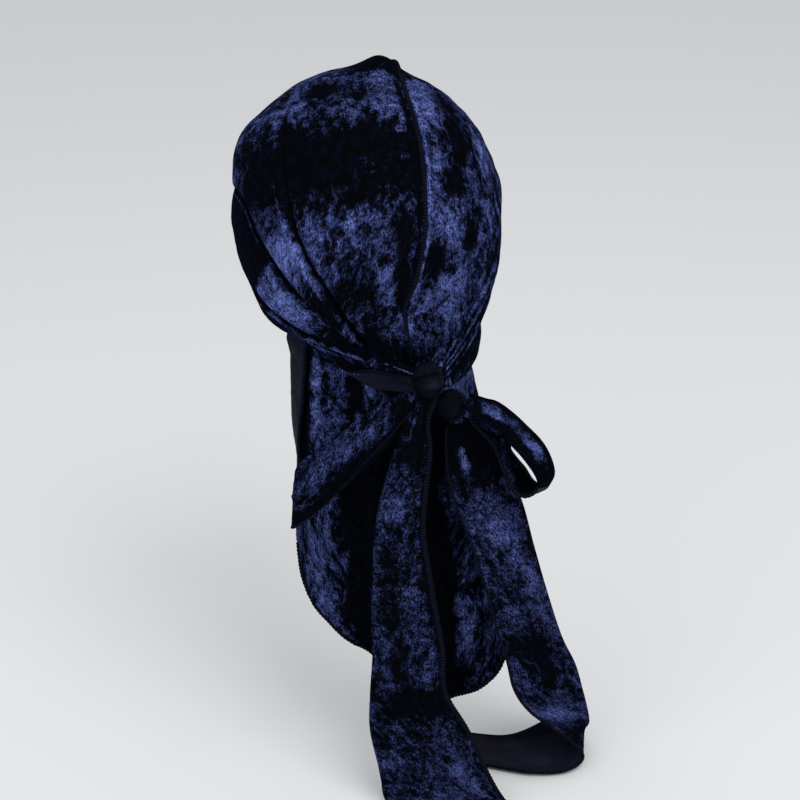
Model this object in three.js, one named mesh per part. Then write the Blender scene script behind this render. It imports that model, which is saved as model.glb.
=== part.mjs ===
// A velvet durag as it sits when worn: two crown panels joined by a raised centre seam, a forehead
// hem, two long straps that cross the sides of the head and are tied in a bow over the nape, and a
// flap that falls from the tie.
//
// Millimetres, +Z up. The wearer looks along -Y and the wearer's left is +X. The origin is the
// middle of the hollow that the head fills.

import * as THREE from 'three';
import { mergeVertices } from 'three/addons/utils/BufferGeometryUtils.js';

// ---- Driving dimensions ----
const HEAD = { x: 77.8, y: 96.4, z: 91 };      // half sizes of the head form inside the cloth
const HEAD_MIDDLE_Z = 5.3;
const HEAD_EGG = 0.08;                        // how much wider it is at the top than at its middle
const WALL = 1.6;                             // velvet and its backing
const GAP = 0.5;                              // air between two pieces that lie on each other
const RIM_FRONT_Z = 15;                       // height of the hem's lower edge at the forehead
const RIM_NAPE_Z = -58;                       // height of the tie line at the nape
const HEM_BAND = 18;                          // depth of the forehead hem
const HEM_END = 0.27;                         // how far the forehead hem runs, temple to temple
const NAPE_END = 0.978;                       // where the crown panels run out under the knot
const SEAM_WIDTH = 4.2;
const SEAM_HEIGHT = 2.2;
const GATHER = { lift: 12, x: -8, z: -60, wide: 26, tall: 30 };  // cloth bunched behind the tie
const KNOT = { x: -9, y: 99, z: -58 };

const velvet = { color: 0x141b3c, roughness: 0.62, metalness: 0 };
const hemmed = { color: 0x0e1226, roughness: 0.72, metalness: 0 };

const group = new THREE.Group();
const V = (x, y, z) => new THREE.Vector3(x, y, z);
const rad = THREE.MathUtils.degToRad;
const smooth = (x, low, high) => THREE.MathUtils.smoothstep(x, low, high);
const bell = (x, width) => Math.exp(-((x / width) ** 2));
const steps = (from, to, count) => Array.from({ length: count + 1 }, (_, i) => from + (to - from) * i / count);

function add(name, geometry, finish) {
  const mesh = new THREE.Mesh(geometry, new THREE.MeshStandardMaterial(finish));
  mesh.name = name;
  group.add(mesh);
}

// Smooth value of a named column of a table at a place between its rows. The rows' own places are
// in the column "at", or are spread evenly from 0 to 1.
function column(rows, name, place) {
  const last = rows.length - 1;
  const at = (i) => rows[i].at ?? i / last;
  let i = 0;
  while (i < last - 1 && place > at(i + 1)) i += 1;
  const share = THREE.MathUtils.clamp((place - at(i)) / (at(i + 1) - at(i)), 0, 1);
  const value = (k) => rows[THREE.MathUtils.clamp(k, 0, last)][name];
  const [a, b, c, d] = [value(i - 1), value(i), value(i + 1), value(i + 2)];
  const bend = share * (c - a + share * (2 * a - 5 * b + 4 * c - d + share * (3 * (b - c) + d - a)));
  return b + bend / 2;
}

// ---- Walls ----
// Triangles from a list of points, written so that shared corners merge into one closed body.
function solid(points, faces) {
  const geometry = new THREE.BufferGeometry();
  geometry.setAttribute('position', new THREE.Float32BufferAttribute(points.flatMap((p) => p.toArray()), 3));
  geometry.setIndex(faces.flat());
  return mergeVertices(geometry, 1e-4);
}

// Cloth wall around a grid of mid-surface points. Its outside is on the side of row x column.
function cloth(grid, wall = WALL) {
  const rows = grid.length;
  const cols = grid[0].length;
  const near = (list, i) => list[THREE.MathUtils.clamp(i, 0, list.length - 1)];
  const points = [];
  for (const side of [0.5, -0.5]) {
    for (let i = 0; i < rows; i += 1) {
      for (let j = 0; j < cols; j += 1) {
        const along = V().subVectors(near(grid, i + 1)[j], near(grid, i - 1)[j]);
        const across = V().subVectors(near(grid[i], j + 1), near(grid[i], j - 1));
        const out = along.cross(across).normalize();
        points.push(grid[i][j].clone().addScaledVector(out, wall * side));
      }
    }
  }
  const faces = [];
  const quad = (a, b, c, d) => faces.push([a, b, c], [a, c, d]);
  const outer = (i, j) => i * cols + j;
  const inner = (i, j) => rows * cols + i * cols + j;
  for (let i = 0; i < rows - 1; i += 1) {
    for (let j = 0; j < cols - 1; j += 1) {
      quad(outer(i, j), outer(i + 1, j), outer(i + 1, j + 1), outer(i, j + 1));
      quad(inner(i, j), inner(i, j + 1), inner(i + 1, j + 1), inner(i + 1, j));
    }
  }
  for (let i = 0; i < rows - 1; i += 1) {
    quad(outer(i, 0), inner(i, 0), inner(i + 1, 0), outer(i + 1, 0));
    quad(outer(i, cols - 1), outer(i + 1, cols - 1), inner(i + 1, cols - 1), inner(i, cols - 1));
  }
  for (let j = 0; j < cols - 1; j += 1) {
    quad(outer(0, j), outer(0, j + 1), inner(0, j + 1), inner(0, j));
    quad(outer(rows - 1, j), inner(rows - 1, j), inner(rows - 1, j + 1), outer(rows - 1, j + 1));
  }
  return solid(points, faces);
}

// Solid through a row of closed rings, with a fan on each end.
function loft(rings) {
  const count = rings[0].length;
  const points = rings.flat();
  const faces = [];
  for (let i = 0; i < rings.length - 1; i += 1) {
    for (let j = 0; j < count; j += 1) {
      const next = (j + 1) % count;
      const [a, b] = [i * count + j, i * count + next];
      faces.push([a, b, b + count], [a, b + count, a + count]);
    }
  }
  const middle = (ring) => ring.reduce((sum, p) => sum.add(p), V(0, 0, 0)).divideScalar(count);
  const first = points.push(middle(rings[0])) - 1;
  const end = points.push(middle(rings[rings.length - 1])) - 1;
  const base = (rings.length - 1) * count;
  for (let j = 0; j < count; j += 1) {
    const next = (j + 1) % count;
    faces.push([first, next, j], [end, base + j, base + next]);
  }
  return solid(points, faces);
}

// ---- Head form ----
// An egg. A place on it is given from the middle of the line between the forehead hem and the tie:
// t is the share of the half turn from the hem over to the nape, and the angle is how far that half
// turn leans from straight up, positive towards the left. At 90 degrees it is the rim.
const widthAt = (z) => HEAD.x * (1 + HEAD_EGG * z / HEAD.z);
const backAt = (z) => HEAD.y * Math.sqrt(1 - ((z - HEAD_MIDDLE_Z) / HEAD.z) ** 2);
const FRONT = V(0, -backAt(RIM_FRONT_Z), RIM_FRONT_Z);
const NAPE = V(0, backAt(RIM_NAPE_Z), RIM_NAPE_Z);
const MIDDLE = V().lerpVectors(FRONT, NAPE, 0.5);
const LEVEL = V().subVectors(NAPE, FRONT).normalize();
const LEFT = V(1, 0, 0);
const RISE = V().crossVectors(LEFT, LEVEL).normalize();

const fullness = (p) => (p.x / widthAt(p.z - HEAD_MIDDLE_Z)) ** 2 + (p.y / HEAD.y) ** 2
  + ((p.z - HEAD_MIDDLE_Z) / HEAD.z) ** 2;

function headPoint(t, angle) {
  const ray = V().addScaledVector(LEVEL, -Math.cos(Math.PI * t))
    .addScaledVector(RISE, Math.sin(Math.PI * t) * Math.cos(rad(angle)))
    .addScaledVector(LEFT, Math.sin(Math.PI * t) * Math.sin(rad(angle)));
  let [inside, outside] = [10, 200];
  for (let i = 0; i < 40; i += 1) {
    const half = (inside + outside) / 2;
    if (fullness(V().copy(MIDDLE).addScaledVector(ray, half)) < 1) inside = half;
    else outside = half;
  }
  return V().copy(MIDDLE).addScaledVector(ray, inside);
}

const headNormal = (p) => V(p.x / HEAD.x ** 2, p.y / HEAD.y ** 2, (p.z - HEAD_MIDDLE_Z) / HEAD.z ** 2).normalize();
const lifted = (p, lift) => p.clone().addScaledVector(headNormal(p), lift);
const fromAxis = (p) => V().subVectors(p, MIDDLE).projectOnPlane(LEVEL).length();

// Angle at which the head form is a given height above the rim plane, on the side of sign.
function angleAbove(height, t, sign) {
  let angle = 90;
  for (let i = 0; i < 12; i += 1) {
    const share = height / fromAxis(headPoint(t, sign * angle));
    angle = THREE.MathUtils.radToDeg(Math.acos(THREE.MathUtils.clamp(share, -1, 1)));
  }
  return sign * angle;
}

// ---- Folds of the crown ----
const seamRows = [
  { at: 0.05, angle: -2 },
  { at: 0.20, angle: -9 },
  { at: 0.37, angle: -10 },
  { at: 0.49, angle: -7 },
  { at: 0.62, angle: -6 },
  { at: 0.74, angle: -5 },
  { at: 0.80, angle: -2 },
  { at: 0.86, angle: 4 },
  { at: 0.98, angle: -10 },
];
const seamAngle = (t) => column(seamRows, 'angle', t);

// Each fold runs from one place to another and swings from one angle to another; a negative height
// is a groove. Width is in degrees about the head.
const crownFolds = [
  { from: 0.38, to: 0.96, start: 21, end: 50, width: 3.5, height: -1.6 },
  { from: 0.38, to: 0.96, start: 27, end: 56, width: 6.0, height: 2.0 },
  { from: 0.72, to: 0.97, start: 18, end: 26, width: 6.0, height: 1.3 },
  { from: 0.74, to: 0.97, start: -13, end: -17, width: 5.0, height: -1.2 },
  { from: 0.70, to: 0.97, start: -22, end: -34, width: 5.0, height: 1.3 },
  { from: 0.64, to: 0.96, start: -32, end: -52, width: 5.0, height: 1.2 },
];
const PUCKER = { t: 0.385, fromSeam: 4, wide: 9, long: 0.04, lift: 7 };   // tuft beside the seam

// Straps where they cross the side of the head: the angles of their two edges, and how far the
// lower edge stands off.
const strapRows = {
  left: [
    { at: 0.26, upper: 75, lower: 89, off: 0 },
    { at: 0.34, upper: 67, lower: 90, off: 0 },
    { at: 0.44, upper: 59, lower: 90, off: 0 },
    { at: 0.53, upper: 53.5, lower: 92, off: 0 },
    { at: 0.60, upper: 55, lower: 92, off: 0 },
    { at: 0.70, upper: 55.5, lower: 92, off: 0 },
    { at: 0.78, upper: 56, lower: 91, off: 0 },
    { at: 0.87, upper: 53, lower: 91, off: 0 },
    { at: 0.96, upper: 55, lower: 96, off: 0 },
  ],
  right: [
    { at: 0.26, upper: 75, lower: 89, off: 0 },
    { at: 0.34, upper: 67, lower: 90, off: 0 },
    { at: 0.44, upper: 60, lower: 90, off: 0 },
    { at: 0.56, upper: 54, lower: 94, off: 0 },
    { at: 0.68, upper: 48, lower: 97, off: 1 },
    { at: 0.78, upper: 50, lower: 100, off: 5 },
    { at: 0.87, upper: 58, lower: 108, off: 9 },
    { at: 0.96, upper: 64, lower: 112, off: 9 },
  ],
};
const PRESSED = 2.6;          // how far the straps press the crown in
const SHOULDER = { lift: 5, t: 0.36, angle: 46, long: 0.10, wide: 10 };   // slack cloth high on the left

function crownLift(t, angle) {
  const p = headPoint(t, angle);
  const bunch = p.y > 0 ? bell(p.x - GATHER.x, GATHER.wide) * bell(p.z - GATHER.z, GATHER.tall) : 0;
  const edge = column(strapRows[angle > 0 ? 'left' : 'right'], 'upper', t);
  const held = smooth(Math.abs(angle), edge - 4, edge + 5) * smooth(t, 0.24, 0.4);
  let lift = WALL / 2 + GATHER.lift * bunch - PRESSED * held * (1 - bunch);
  for (const fold of crownFolds) {
    const share = (t - fold.from) / (fold.to - fold.from);
    if (share > 0 && share < 1) {
      const middle = fold.start + (fold.end - fold.start) * share;
      const fade = smooth(share, 0, 0.25) * (1 - smooth(share, 0.9, 1));
      lift += fold.height * fade * bell(angle - middle, fold.width);
    }
  }
  lift += SHOULDER.lift * bell(t - SHOULDER.t, SHOULDER.long) * bell(angle - SHOULDER.angle, SHOULDER.wide);
  const side = rad(angle - seamAngle(t) - PUCKER.fromSeam) * HEAD.z;
  return lift + PUCKER.lift * bell(side, PUCKER.wide) * bell(t - PUCKER.t, PUCKER.long);
}

const crownPoint = (t, angle, above = 0) => lifted(headPoint(t, angle), crownLift(t, angle) + above);

// ---- Crown panels ----
const RIM_GAP = 0.6;          // each side of the rim plane, between the crown and the flap
const FIRST_ROW = 0.075;      // where the panels start, just above the middle of the hem
const crownRows = [
  ...steps(FIRST_ROW, HEM_END + 0.006, 5),
  ...steps(HEM_END + 0.014, 0.42, 4),
  ...steps(0.46, NAPE_END, 13),
];

function crownPanel(sign) {
  return crownRows.map((t) => {
    const above = t < HEM_END + 0.01 ? HEM_BAND + 1.8 : RIM_GAP;
    const edge = angleAbove(above, t, sign);
    const start = seamAngle(t) + sign * THREE.MathUtils.radToDeg(0.35 / Math.max(5, fromAxis(headPoint(t, 0))));
    const row = steps(0, 1, 10).map((share) => crownPoint(t, start + (edge - start) * share ** 1.15));
    return sign > 0 ? row : row.reverse();
  });
}

add('crown_left', cloth(crownPanel(1)), velvet);
add('crown_right', cloth(crownPanel(-1)), velvet);

// ---- Centre seam: the raised, overlocked edge that joins the two panels ----
const seamRings = crownRows.map((t) => {
  const [before, after] = [crownPoint(t - 0.01, seamAngle(t - 0.01)), crownPoint(t + 0.01, seamAngle(t + 0.01))];
  const along = after.sub(before).normalize();
  const out = headNormal(headPoint(t, seamAngle(t)));
  const side = V().crossVectors(along, out).normalize();
  const base = crownPoint(t, seamAngle(t), WALL / 2 + GAP);
  const taper = smooth(t, 0.05, 0.11) * (1 - 0.5 * smooth(t, 0.9, 0.96));
  return steps(Math.PI, 0, 5).map((turn) => base.clone()
    .addScaledVector(side, Math.cos(turn) * SEAM_WIDTH / 2 * Math.max(0.4, taper))
    .addScaledVector(out, Math.sin(turn) * SEAM_HEIGHT * Math.max(0.4, taper)));
});
add('centre_seam', loft(seamRings), hemmed);

// ---- Forehead hem: a band from temple to temple along the rim ----
const hemRows = [...steps(-HEM_END, -0.05, 7), 0, ...steps(0.05, HEM_END, 7)];
const hemGrid = hemRows.map((place) => {
  const t = Math.abs(place);
  const sign = Math.sign(place) || 1;
  return [RIM_GAP, HEM_BAND / 2, HEM_BAND].map((height) => {
    const far = angleAbove(height, Math.max(t, 0.001), sign);
    const raised = lifted(headPoint(t, far), WALL / 2);
    if (t > 0.1) return raised;
    // Close to the middle of the forehead the band is set by height and width alone.
    const width = place * Math.PI * HEAD.y;
    const flat = V(width, 0, 0).addScaledVector(RISE, height).add(FRONT);
    const scale = Math.sqrt(1 - (flat.x / HEAD.x) ** 2 - (flat.z / HEAD.z) ** 2);
    flat.y = -HEAD.y * scale;
    return lifted(flat, WALL / 2);
  });
});
add('front_hem', cloth(hemGrid), hemmed);

// ---- Straps over the sides of the head ----
// Towards the nape each strap leaves the head for the knot, where it is bunched to a few millimetres.
const strapEnds = {
  left: { from: 0.78, upper: V(1.5, 92, -51), lower: V(1.5, 92, -66) },
  right: { from: 0.80, upper: V(-20, 92, -50), lower: V(-20, 92, -61) },
};
const STRAP_START = 0.262;
const STRAP_END = 0.955;
const DROOP = { left: 8.4, right: 0, t: 0.868, long: 0.036 };   // how far the lower edge hangs near the tie

// Moves a point out along its ray from the middle until it is clear of the crown cloth.
function clearOfCrown(p, clearance) {
  const ray = V().subVectors(p, MIDDLE);
  const t = Math.atan2(fromAxis(p), -ray.dot(LEVEL)) / Math.PI;
  const angle = THREE.MathUtils.radToDeg(Math.atan2(ray.dot(LEFT), ray.dot(RISE)));
  const surface = crownPoint(t, angle, clearance);
  return surface.distanceTo(MIDDLE) > ray.length() ? surface : p;
}

function strapGrid(side) {
  const sign = side === 'left' ? 1 : -1;
  const end = strapEnds[side];
  return steps(STRAP_START, STRAP_END, 22).map((t) => {
    const upper = column(strapRows[side], 'upper', t);
    const lower = column(strapRows[side], 'lower', t);
    const pull = smooth(t, end.from, STRAP_END);
    const row = steps(0, 1, 5).map((share) => {
      const puff = 1.2 * Math.sin(Math.PI * share) + column(strapRows[side], 'off', t) * share ** 2;
      const angle = upper + (lower - upper) * share;
      const onTop = crownPoint(t, sign * Math.min(angle, 90), WALL + 2 * GAP + puff);
      onTop.z -= rad(Math.max(0, angle - 90)) * fromAxis(onTop);   // below the rim it hangs straight
      const bunched = V().lerpVectors(end.upper, end.lower, share);
      onTop.lerp(bunched, pull).z -= DROOP[side] * bell(t - DROOP.t, DROOP.long) * share ** 2;
      return clearOfCrown(onTop, WALL + GAP + 3 * smooth(pull, 0, 0.25));
    });
    return sign > 0 ? row : row.reverse();
  });
}
add('left_strap', cloth(strapGrid('left')), velvet);
add('right_strap', cloth(strapGrid('right')), velvet);

// ---- Flap ----
// A column of cloth for each row: where it leaves the rim, and where it meets the rounded hem.
const flapColumns = [
  { top: 0.748, hemX: 54, hemY: 32, hemZ: -188, fold: 0 },
  { top: 0.782, hemX: 52, hemY: 37, hemZ: -210, fold: 1 },
  { top: 0.815, hemX: 47, hemY: 45, hemZ: -226, fold: 1 },
  { top: 0.849, hemX: 39, hemY: 54, hemZ: -238, fold: 0 },
  { top: 0.882, hemX: 29, hemY: 62, hemZ: -247, fold: 0 },
  { top: 0.916, hemX: 17, hemY: 69, hemZ: -256, fold: -3 },
  { top: 0.949, hemX: 3, hemY: 78, hemZ: -267, fold: 2 },
  { top: 0.983, hemX: -10, hemY: 86, hemZ: -278, fold: 3 },
  { top: 1.017, hemX: -22, hemY: 88, hemZ: -287, fold: -3 },
  { top: 1.050, hemX: -34, hemY: 89, hemZ: -286, fold: -6 },
  { top: 1.084, hemX: -46, hemY: 93, hemZ: -275, fold: 1 },
  { top: 1.118, hemX: -56, hemY: 93, hemZ: -264, fold: 2 },
  { top: 1.151, hemX: -66, hemY: 90, hemZ: -246, fold: 1 },
  { top: 1.185, hemX: -79, hemY: 79, hemZ: -200, fold: 0 },
];
const MARGIN = { width: 18, radius: 2.3, opens: 0.64 };  // left edge, turned out

function flapPoint(share, down) {
  const top = column(flapColumns, 'top', share);
  const [t, sign] = top > 1 ? [2 - top, -1] : [top, 1];
  const start = crownPoint(t, angleAbove(-RIM_GAP, t, sign));
  const end = V(...['hemX', 'hemY', 'hemZ'].map((name) => column(flapColumns, name, share)));
  const out = headNormal(start).setZ(0).normalize();
  const depth = column(flapColumns, 'fold', share) * smooth(down, 0.05, 0.5);
  const belly = 3 * Math.sin(Math.PI * down) * Math.sin(Math.PI * share) + depth;
  return start.lerp(end, down).addScaledVector(out, belly);
}

// The turned-out margin: a half turn about the fold line, then back over the outer face.
function marginPoints(down) {
  const level = Math.max(down, 0.06);
  const outward = V().subVectors(flapPoint(0, level), flapPoint(0.04, level)).setZ(0).normalize();
  const up = V(-outward.y, outward.x, 0);
  const wide = MARGIN.width * smooth(down, 0.05, 0.13) * (1 - smooth(down, MARGIN.opens, MARGIN.opens + 0.2)) + 2;
  const reach = flapPoint(0, down).distanceTo(flapPoint(0.1, down)) / 0.1;
  return [1, 0.70, 0.42, 0.28, 0.14].map((share) => {
    const bent = Math.min(share * wide / MARGIN.radius, Math.PI);
    const past = Math.max(0, share * wide - MARGIN.radius * Math.PI);
    return flapPoint(past / reach, down)
      .addScaledVector(outward, MARGIN.radius * Math.sin(bent))
      .addScaledVector(up, MARGIN.radius * (1 - Math.cos(bent)));
  });
}

const flapGrid = steps(0, 1, 16).map((down) => [
  ...marginPoints(down),
  ...steps(0, 1, 21).map((share) => flapPoint(share, down)),
]);
add('flap', cloth(flapGrid), velvet);

// ---- Ribbons: the bow's loops and the strap ends that hang ----
// Each row gives the two edges, a and b, that face outwards. Past b the cloth turns behind for the
// length over, through the angle turn; belly is how far the middle stands proud. A lapped ribbon
// has its turned layer on the other side, towards the head.
const BEND = 2.4;
function ribbonGrid(rows, count, lapped = false, front = 4) {
  const point = (place, name) => V(...['x', 'y', 'z'].map((axis) => column(rows, name + axis, place)));
  return steps(0, 1, count).map((place) => {
    const [a, b] = [point(place, 'a'), point(place, 'b')];
    const over = Math.max(1, column(rows, 'over', place));
    const step = 0.01;
    const ahead = point(Math.min(1, place + step), 'a').add(point(Math.min(1, place + step), 'b'));
    const behind = point(Math.max(0, place - step), 'a').add(point(Math.max(0, place - step), 'b'));
    const along = ahead.sub(behind).normalize();
    const across = V().subVectors(b, a).normalize();
    const out = V().crossVectors(along, across).normalize();
    if (lapped) {
      out.negate();
      b.addScaledVector(out, 2 * BEND * smooth(over, 2, 8));
      across.subVectors(b, a).normalize();
      out.addScaledVector(across, -out.dot(across)).normalize();
    }
    const row = steps(0, 1, front).map((share) => V().lerpVectors(a, b, share)
      .addScaledVector(out, column(rows, 'belly', place) * Math.sin(Math.PI * share)));
    const turn = rad(Math.max(1, column(rows, 'turn', place)));
    for (const bent of steps(0, turn, 4).slice(1)) {
      row.push(b.clone().addScaledVector(across, BEND * Math.sin(bent))
        .addScaledVector(out, -BEND * (1 - Math.cos(bent))));
    }
    const last = row[row.length - 1];
    const onward = across.clone().multiplyScalar(Math.cos(turn)).addScaledVector(out, -Math.sin(turn));
    row.push(last.clone().addScaledVector(onward, over / 2), last.clone().addScaledVector(onward, over));
    return row;
  });
}

const leftTail = [
  { ax: -13, ay: 101, az: -70, bx: -3, by: 98, bz: -72, belly: 1, over: 5, turn: 150 },
  { ax: -8, ay: 102, az: -82, bx: 2, by: 99, bz: -85, belly: 2, over: 8, turn: 160 },
  { ax: -9, ay: 104, az: -102, bx: 9, by: 99, bz: -105, belly: 2, over: 14, turn: 165 },
  { ax: -6, ay: 105, az: -128, bx: 16, by: 99, bz: -131, belly: 2, over: 24, turn: 168 },
  { ax: -5, ay: 105, az: -151, bx: 19, by: 98, bz: -154, belly: 2, over: 30, turn: 168 },
  { ax: -8, ay: 107, az: -177, bx: 20, by: 98, bz: -178, belly: 2, over: 32, turn: 168 },
  { ax: -12, ay: 109, az: -205, bx: 21, by: 98, bz: -205, belly: 1, over: 32, turn: 168 },
  { ax: -16, ay: 111, az: -232, bx: 21, by: 99, bz: -233, belly: 1, over: 30, turn: 168 },
  { ax: -17, ay: 114, az: -260, bx: 23, by: 100, bz: -261, belly: 0, over: 28, turn: 165 },
  { ax: -30, ay: 119, az: -287, bx: 24, by: 102, bz: -286, belly: -1, over: 18, turn: 150 },
  { ax: -39, ay: 127, az: -311, bx: 20, by: 107, bz: -312, belly: -2, over: 9, turn: 120 },
  { ax: -48, ay: 137, az: -330, bx: 18, by: 115, bz: -331, belly: -1, over: 3, turn: 60 },
  { ax: -57, ay: 157, az: -336, bx: 13, by: 137, bz: -336, belly: 0, over: 1, turn: 10 },
  { ax: -66, ay: 186, az: -336, bx: 10, by: 166, bz: -336, belly: 0, over: 1, turn: 5 },
];
const rightTail = [
  { ax: -22, ay: 97, az: -88, bx: -33, by: 97, bz: -88, belly: 1, over: 4, turn: 120 },
  { ax: -21, ay: 97, az: -99, bx: -47, by: 97, bz: -100, belly: 1, over: 8, turn: 140 },
  { ax: -22, ay: 99, az: -120, bx: -57, by: 101, bz: -121, belly: 2, over: 14, turn: 150 },
  { ax: -28, ay: 102, az: -143, bx: -65, by: 105, bz: -144, belly: 3, over: 20, turn: 150 },
  { ax: -36, ay: 108, az: -168, bx: -71, by: 110, bz: -170, belly: 3, over: 24, turn: 145 },
  { ax: -44, ay: 110, az: -195, bx: -80, by: 111, bz: -201, belly: 2, over: 26, turn: 135 },
  { ax: -51, ay: 111, az: -223, bx: -91, by: 112, bz: -235, belly: 2, over: 26, turn: 120 },
  { ax: -58, ay: 112, az: -247, bx: -102, by: 111, bz: -259, belly: 1, over: 26, turn: 105 },
  { ax: -63, ay: 113, az: -268, bx: -109, by: 109, bz: -281, belly: 1, over: 26, turn: 92 },
  { ax: -73, ay: 114, az: -285, bx: -116, by: 103, bz: -300, belly: 0, over: 26, turn: 82 },
  { ax: -89, ay: 114, az: -301, bx: -122, by: 95, bz: -316, belly: 0, over: 25, turn: 74 },
  { ax: -107, ay: 112, az: -320, bx: -127, by: 85, bz: -328, belly: 0, over: 22, turn: 68 },
  { ax: -112, ay: 112, az: -332, bx: -120, by: 79, bz: -335, belly: 0, over: 16, turn: 60 },
  { ax: -98, ay: 115, az: -336, bx: -101, by: 78, bz: -336, belly: 0, over: 9, turn: 50 },
  { ax: -76, ay: 110, az: -336, bx: -77, by: 76, bz: -336, belly: 0, over: 3, turn: 40 },
  { ax: -53, ay: 96, az: -336, bx: -56, by: 65, bz: -336, belly: 0, over: 1, turn: 30 },
  { ax: -30, ay: 85, az: -336, bx: -38, by: 54, bz: -336, belly: 0, over: 1, turn: 20 },
  { ax: -8, ay: 73, az: -336, bx: -22, by: 42, bz: -336, belly: 0, over: 1, turn: 10 },
];
const leftLoop = [
  { ax: 1, ay: 101, az: -73, bx: 3, by: 100, bz: -66, belly: 1, over: 5, turn: 160 },
  { ax: 9, ay: 102, az: -82, bx: 14, by: 100, bz: -71, belly: 2, over: 8, turn: 165 },
  { ax: 25, ay: 102, az: -98, bx: 31, by: 99, bz: -80, belly: 3, over: 14, turn: 168 },
  { ax: 42, ay: 97, az: -120, bx: 48, by: 95, bz: -97, belly: 3, over: 20, turn: 168 },
  { ax: 56, ay: 91, az: -137, bx: 57, by: 89, bz: -109, belly: 2, over: 22, turn: 168 },
  { ax: 66, ay: 84, az: -148, bx: 60, by: 83, bz: -116, belly: 1, over: 22, turn: 168 },
  { ax: 66, ay: 76, az: -152, bx: 58, by: 76, bz: -117, belly: 0, over: 22, turn: 168 },
  { ax: 56, ay: 73, az: -146, bx: 53, by: 73, bz: -113, belly: 1, over: 20, turn: 168 },
  { ax: 41, ay: 77, az: -134, bx: 42, by: 77, bz: -105, belly: 1, over: 18, turn: 168 },
  { ax: 25, ay: 83, az: -117, bx: 28, by: 82, bz: -94, belly: 1, over: 14, turn: 168 },
  { ax: 9, ay: 89, az: -98, bx: 13, by: 88, bz: -81, belly: 1, over: 8, turn: 165 },
  { ax: 2, ay: 93, az: -82, bx: 4, by: 92, bz: -72, belly: 1, over: 5, turn: 160 },
];
const rightLoop = [
  { ax: -32, ay: 115, az: -75, bx: -42, by: 108, bz: -71, belly: 1, over: 1, turn: 30 },
  { ax: -34, ay: 118, az: -77, bx: -47, by: 110, bz: -72, belly: 2, over: 1, turn: 30 },
  { ax: -40, ay: 122, az: -80, bx: -55, by: 114, bz: -78, belly: 2, over: 1, turn: 30 },
  { ax: -45, ay: 125, az: -84, bx: -62, by: 117, bz: -85, belly: 2, over: 1, turn: 30 },
  { ax: -50, ay: 127, az: -91, bx: -70, by: 120, bz: -94, belly: 2, over: 1, turn: 30 },
  { ax: -57, ay: 129, az: -100, bx: -75, by: 122, bz: -103, belly: 2, over: 1, turn: 30 },
  { ax: -63, ay: 131, az: -109, bx: -78, by: 123, bz: -113, belly: 1, over: 1, turn: 30 },
  { ax: -66, ay: 130, az: -117, bx: -77, by: 122, bz: -120, belly: 0, over: 1, turn: 30 },
  { ax: -64, ay: 127, az: -124, bx: -73, by: 120, bz: -126, belly: 0, over: 1, turn: 30 },
  { ax: -59, ay: 124, az: -126, bx: -67, by: 116, bz: -122, belly: 0, over: 1, turn: 30 },
  { ax: -53, ay: 121, az: -121, bx: -63, by: 113, bz: -115, belly: 0, over: 1, turn: 30 },
  { ax: -50, ay: 119, az: -113, bx: -59, by: 110, bz: -110, belly: 0, over: 1, turn: 30 },
  { ax: -47, ay: 118, az: -104, bx: -55, by: 108, bz: -104, belly: 0, over: 1, turn: 30 },
  { ax: -44, ay: 116, az: -96, bx: -54, by: 107, bz: -98, belly: 0, over: 1, turn: 30 },
  { ax: -37, ay: 113, az: -87, bx: -47, by: 105, bz: -89, belly: 0, over: 1, turn: 30 },
  { ax: -30, ay: 109, az: -79, bx: -39, by: 103, bz: -81, belly: 0, over: 1, turn: 30 },
];
add('left_tail', cloth(ribbonGrid(leftTail, 18, true)), velvet);
add('right_tail', cloth(ribbonGrid(rightTail, 25)), velvet);
add('left_loop', cloth(ribbonGrid(leftLoop, 18, true)), velvet);
add('right_loop', cloth(ribbonGrid(rightLoop, 20)), velvet);

// ---- Knot ----
// Two turns of the strap side by side, each a rounded lump with the creases of the pulled cloth.
function lump(centre, size, tilt, creases) {
  const geometry = new THREE.SphereGeometry(1, 16, 11);
  geometry.deleteAttribute('normal');
  geometry.deleteAttribute('uv');
  const body = mergeVertices(geometry, 1e-4);
  const position = body.getAttribute('position');
  for (let i = 0; i < position.count; i += 1) {
    const p = V().fromBufferAttribute(position, i);
    p.multiplyScalar(1 + 0.05 * Math.sin(creases * p.z + 2 * p.x) * (1 - p.y * p.y));
    p.multiply(size).applyAxisAngle(V(0, 1, 0), rad(tilt)).add(centre);
    position.setXYZ(i, p.x, p.y, p.z);
  }
  return body;
}
add('knot', lump(V(KNOT.x, KNOT.y, KNOT.z), V(9, 8, 10.5), 8, 4), hemmed);
add('knot_wrap', lump(V(KNOT.x - 15, KNOT.y + 2, KNOT.z - 15.5), V(8.5, 8, 9.2), -20, 4), hemmed);

export default group;
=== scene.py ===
"""A velvet durag as it sits when worn: two crown panels, a centre seam, a forehead hem, two straps
tied in a bow over the nape, and a flap. Lengths are in millimetres until a mesh is made, when they
become metres. The wearer looks along -Y and the wearer's left is +X."""

import math

import bmesh
import bpy
from mathutils import Matrix, Vector, noise


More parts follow.
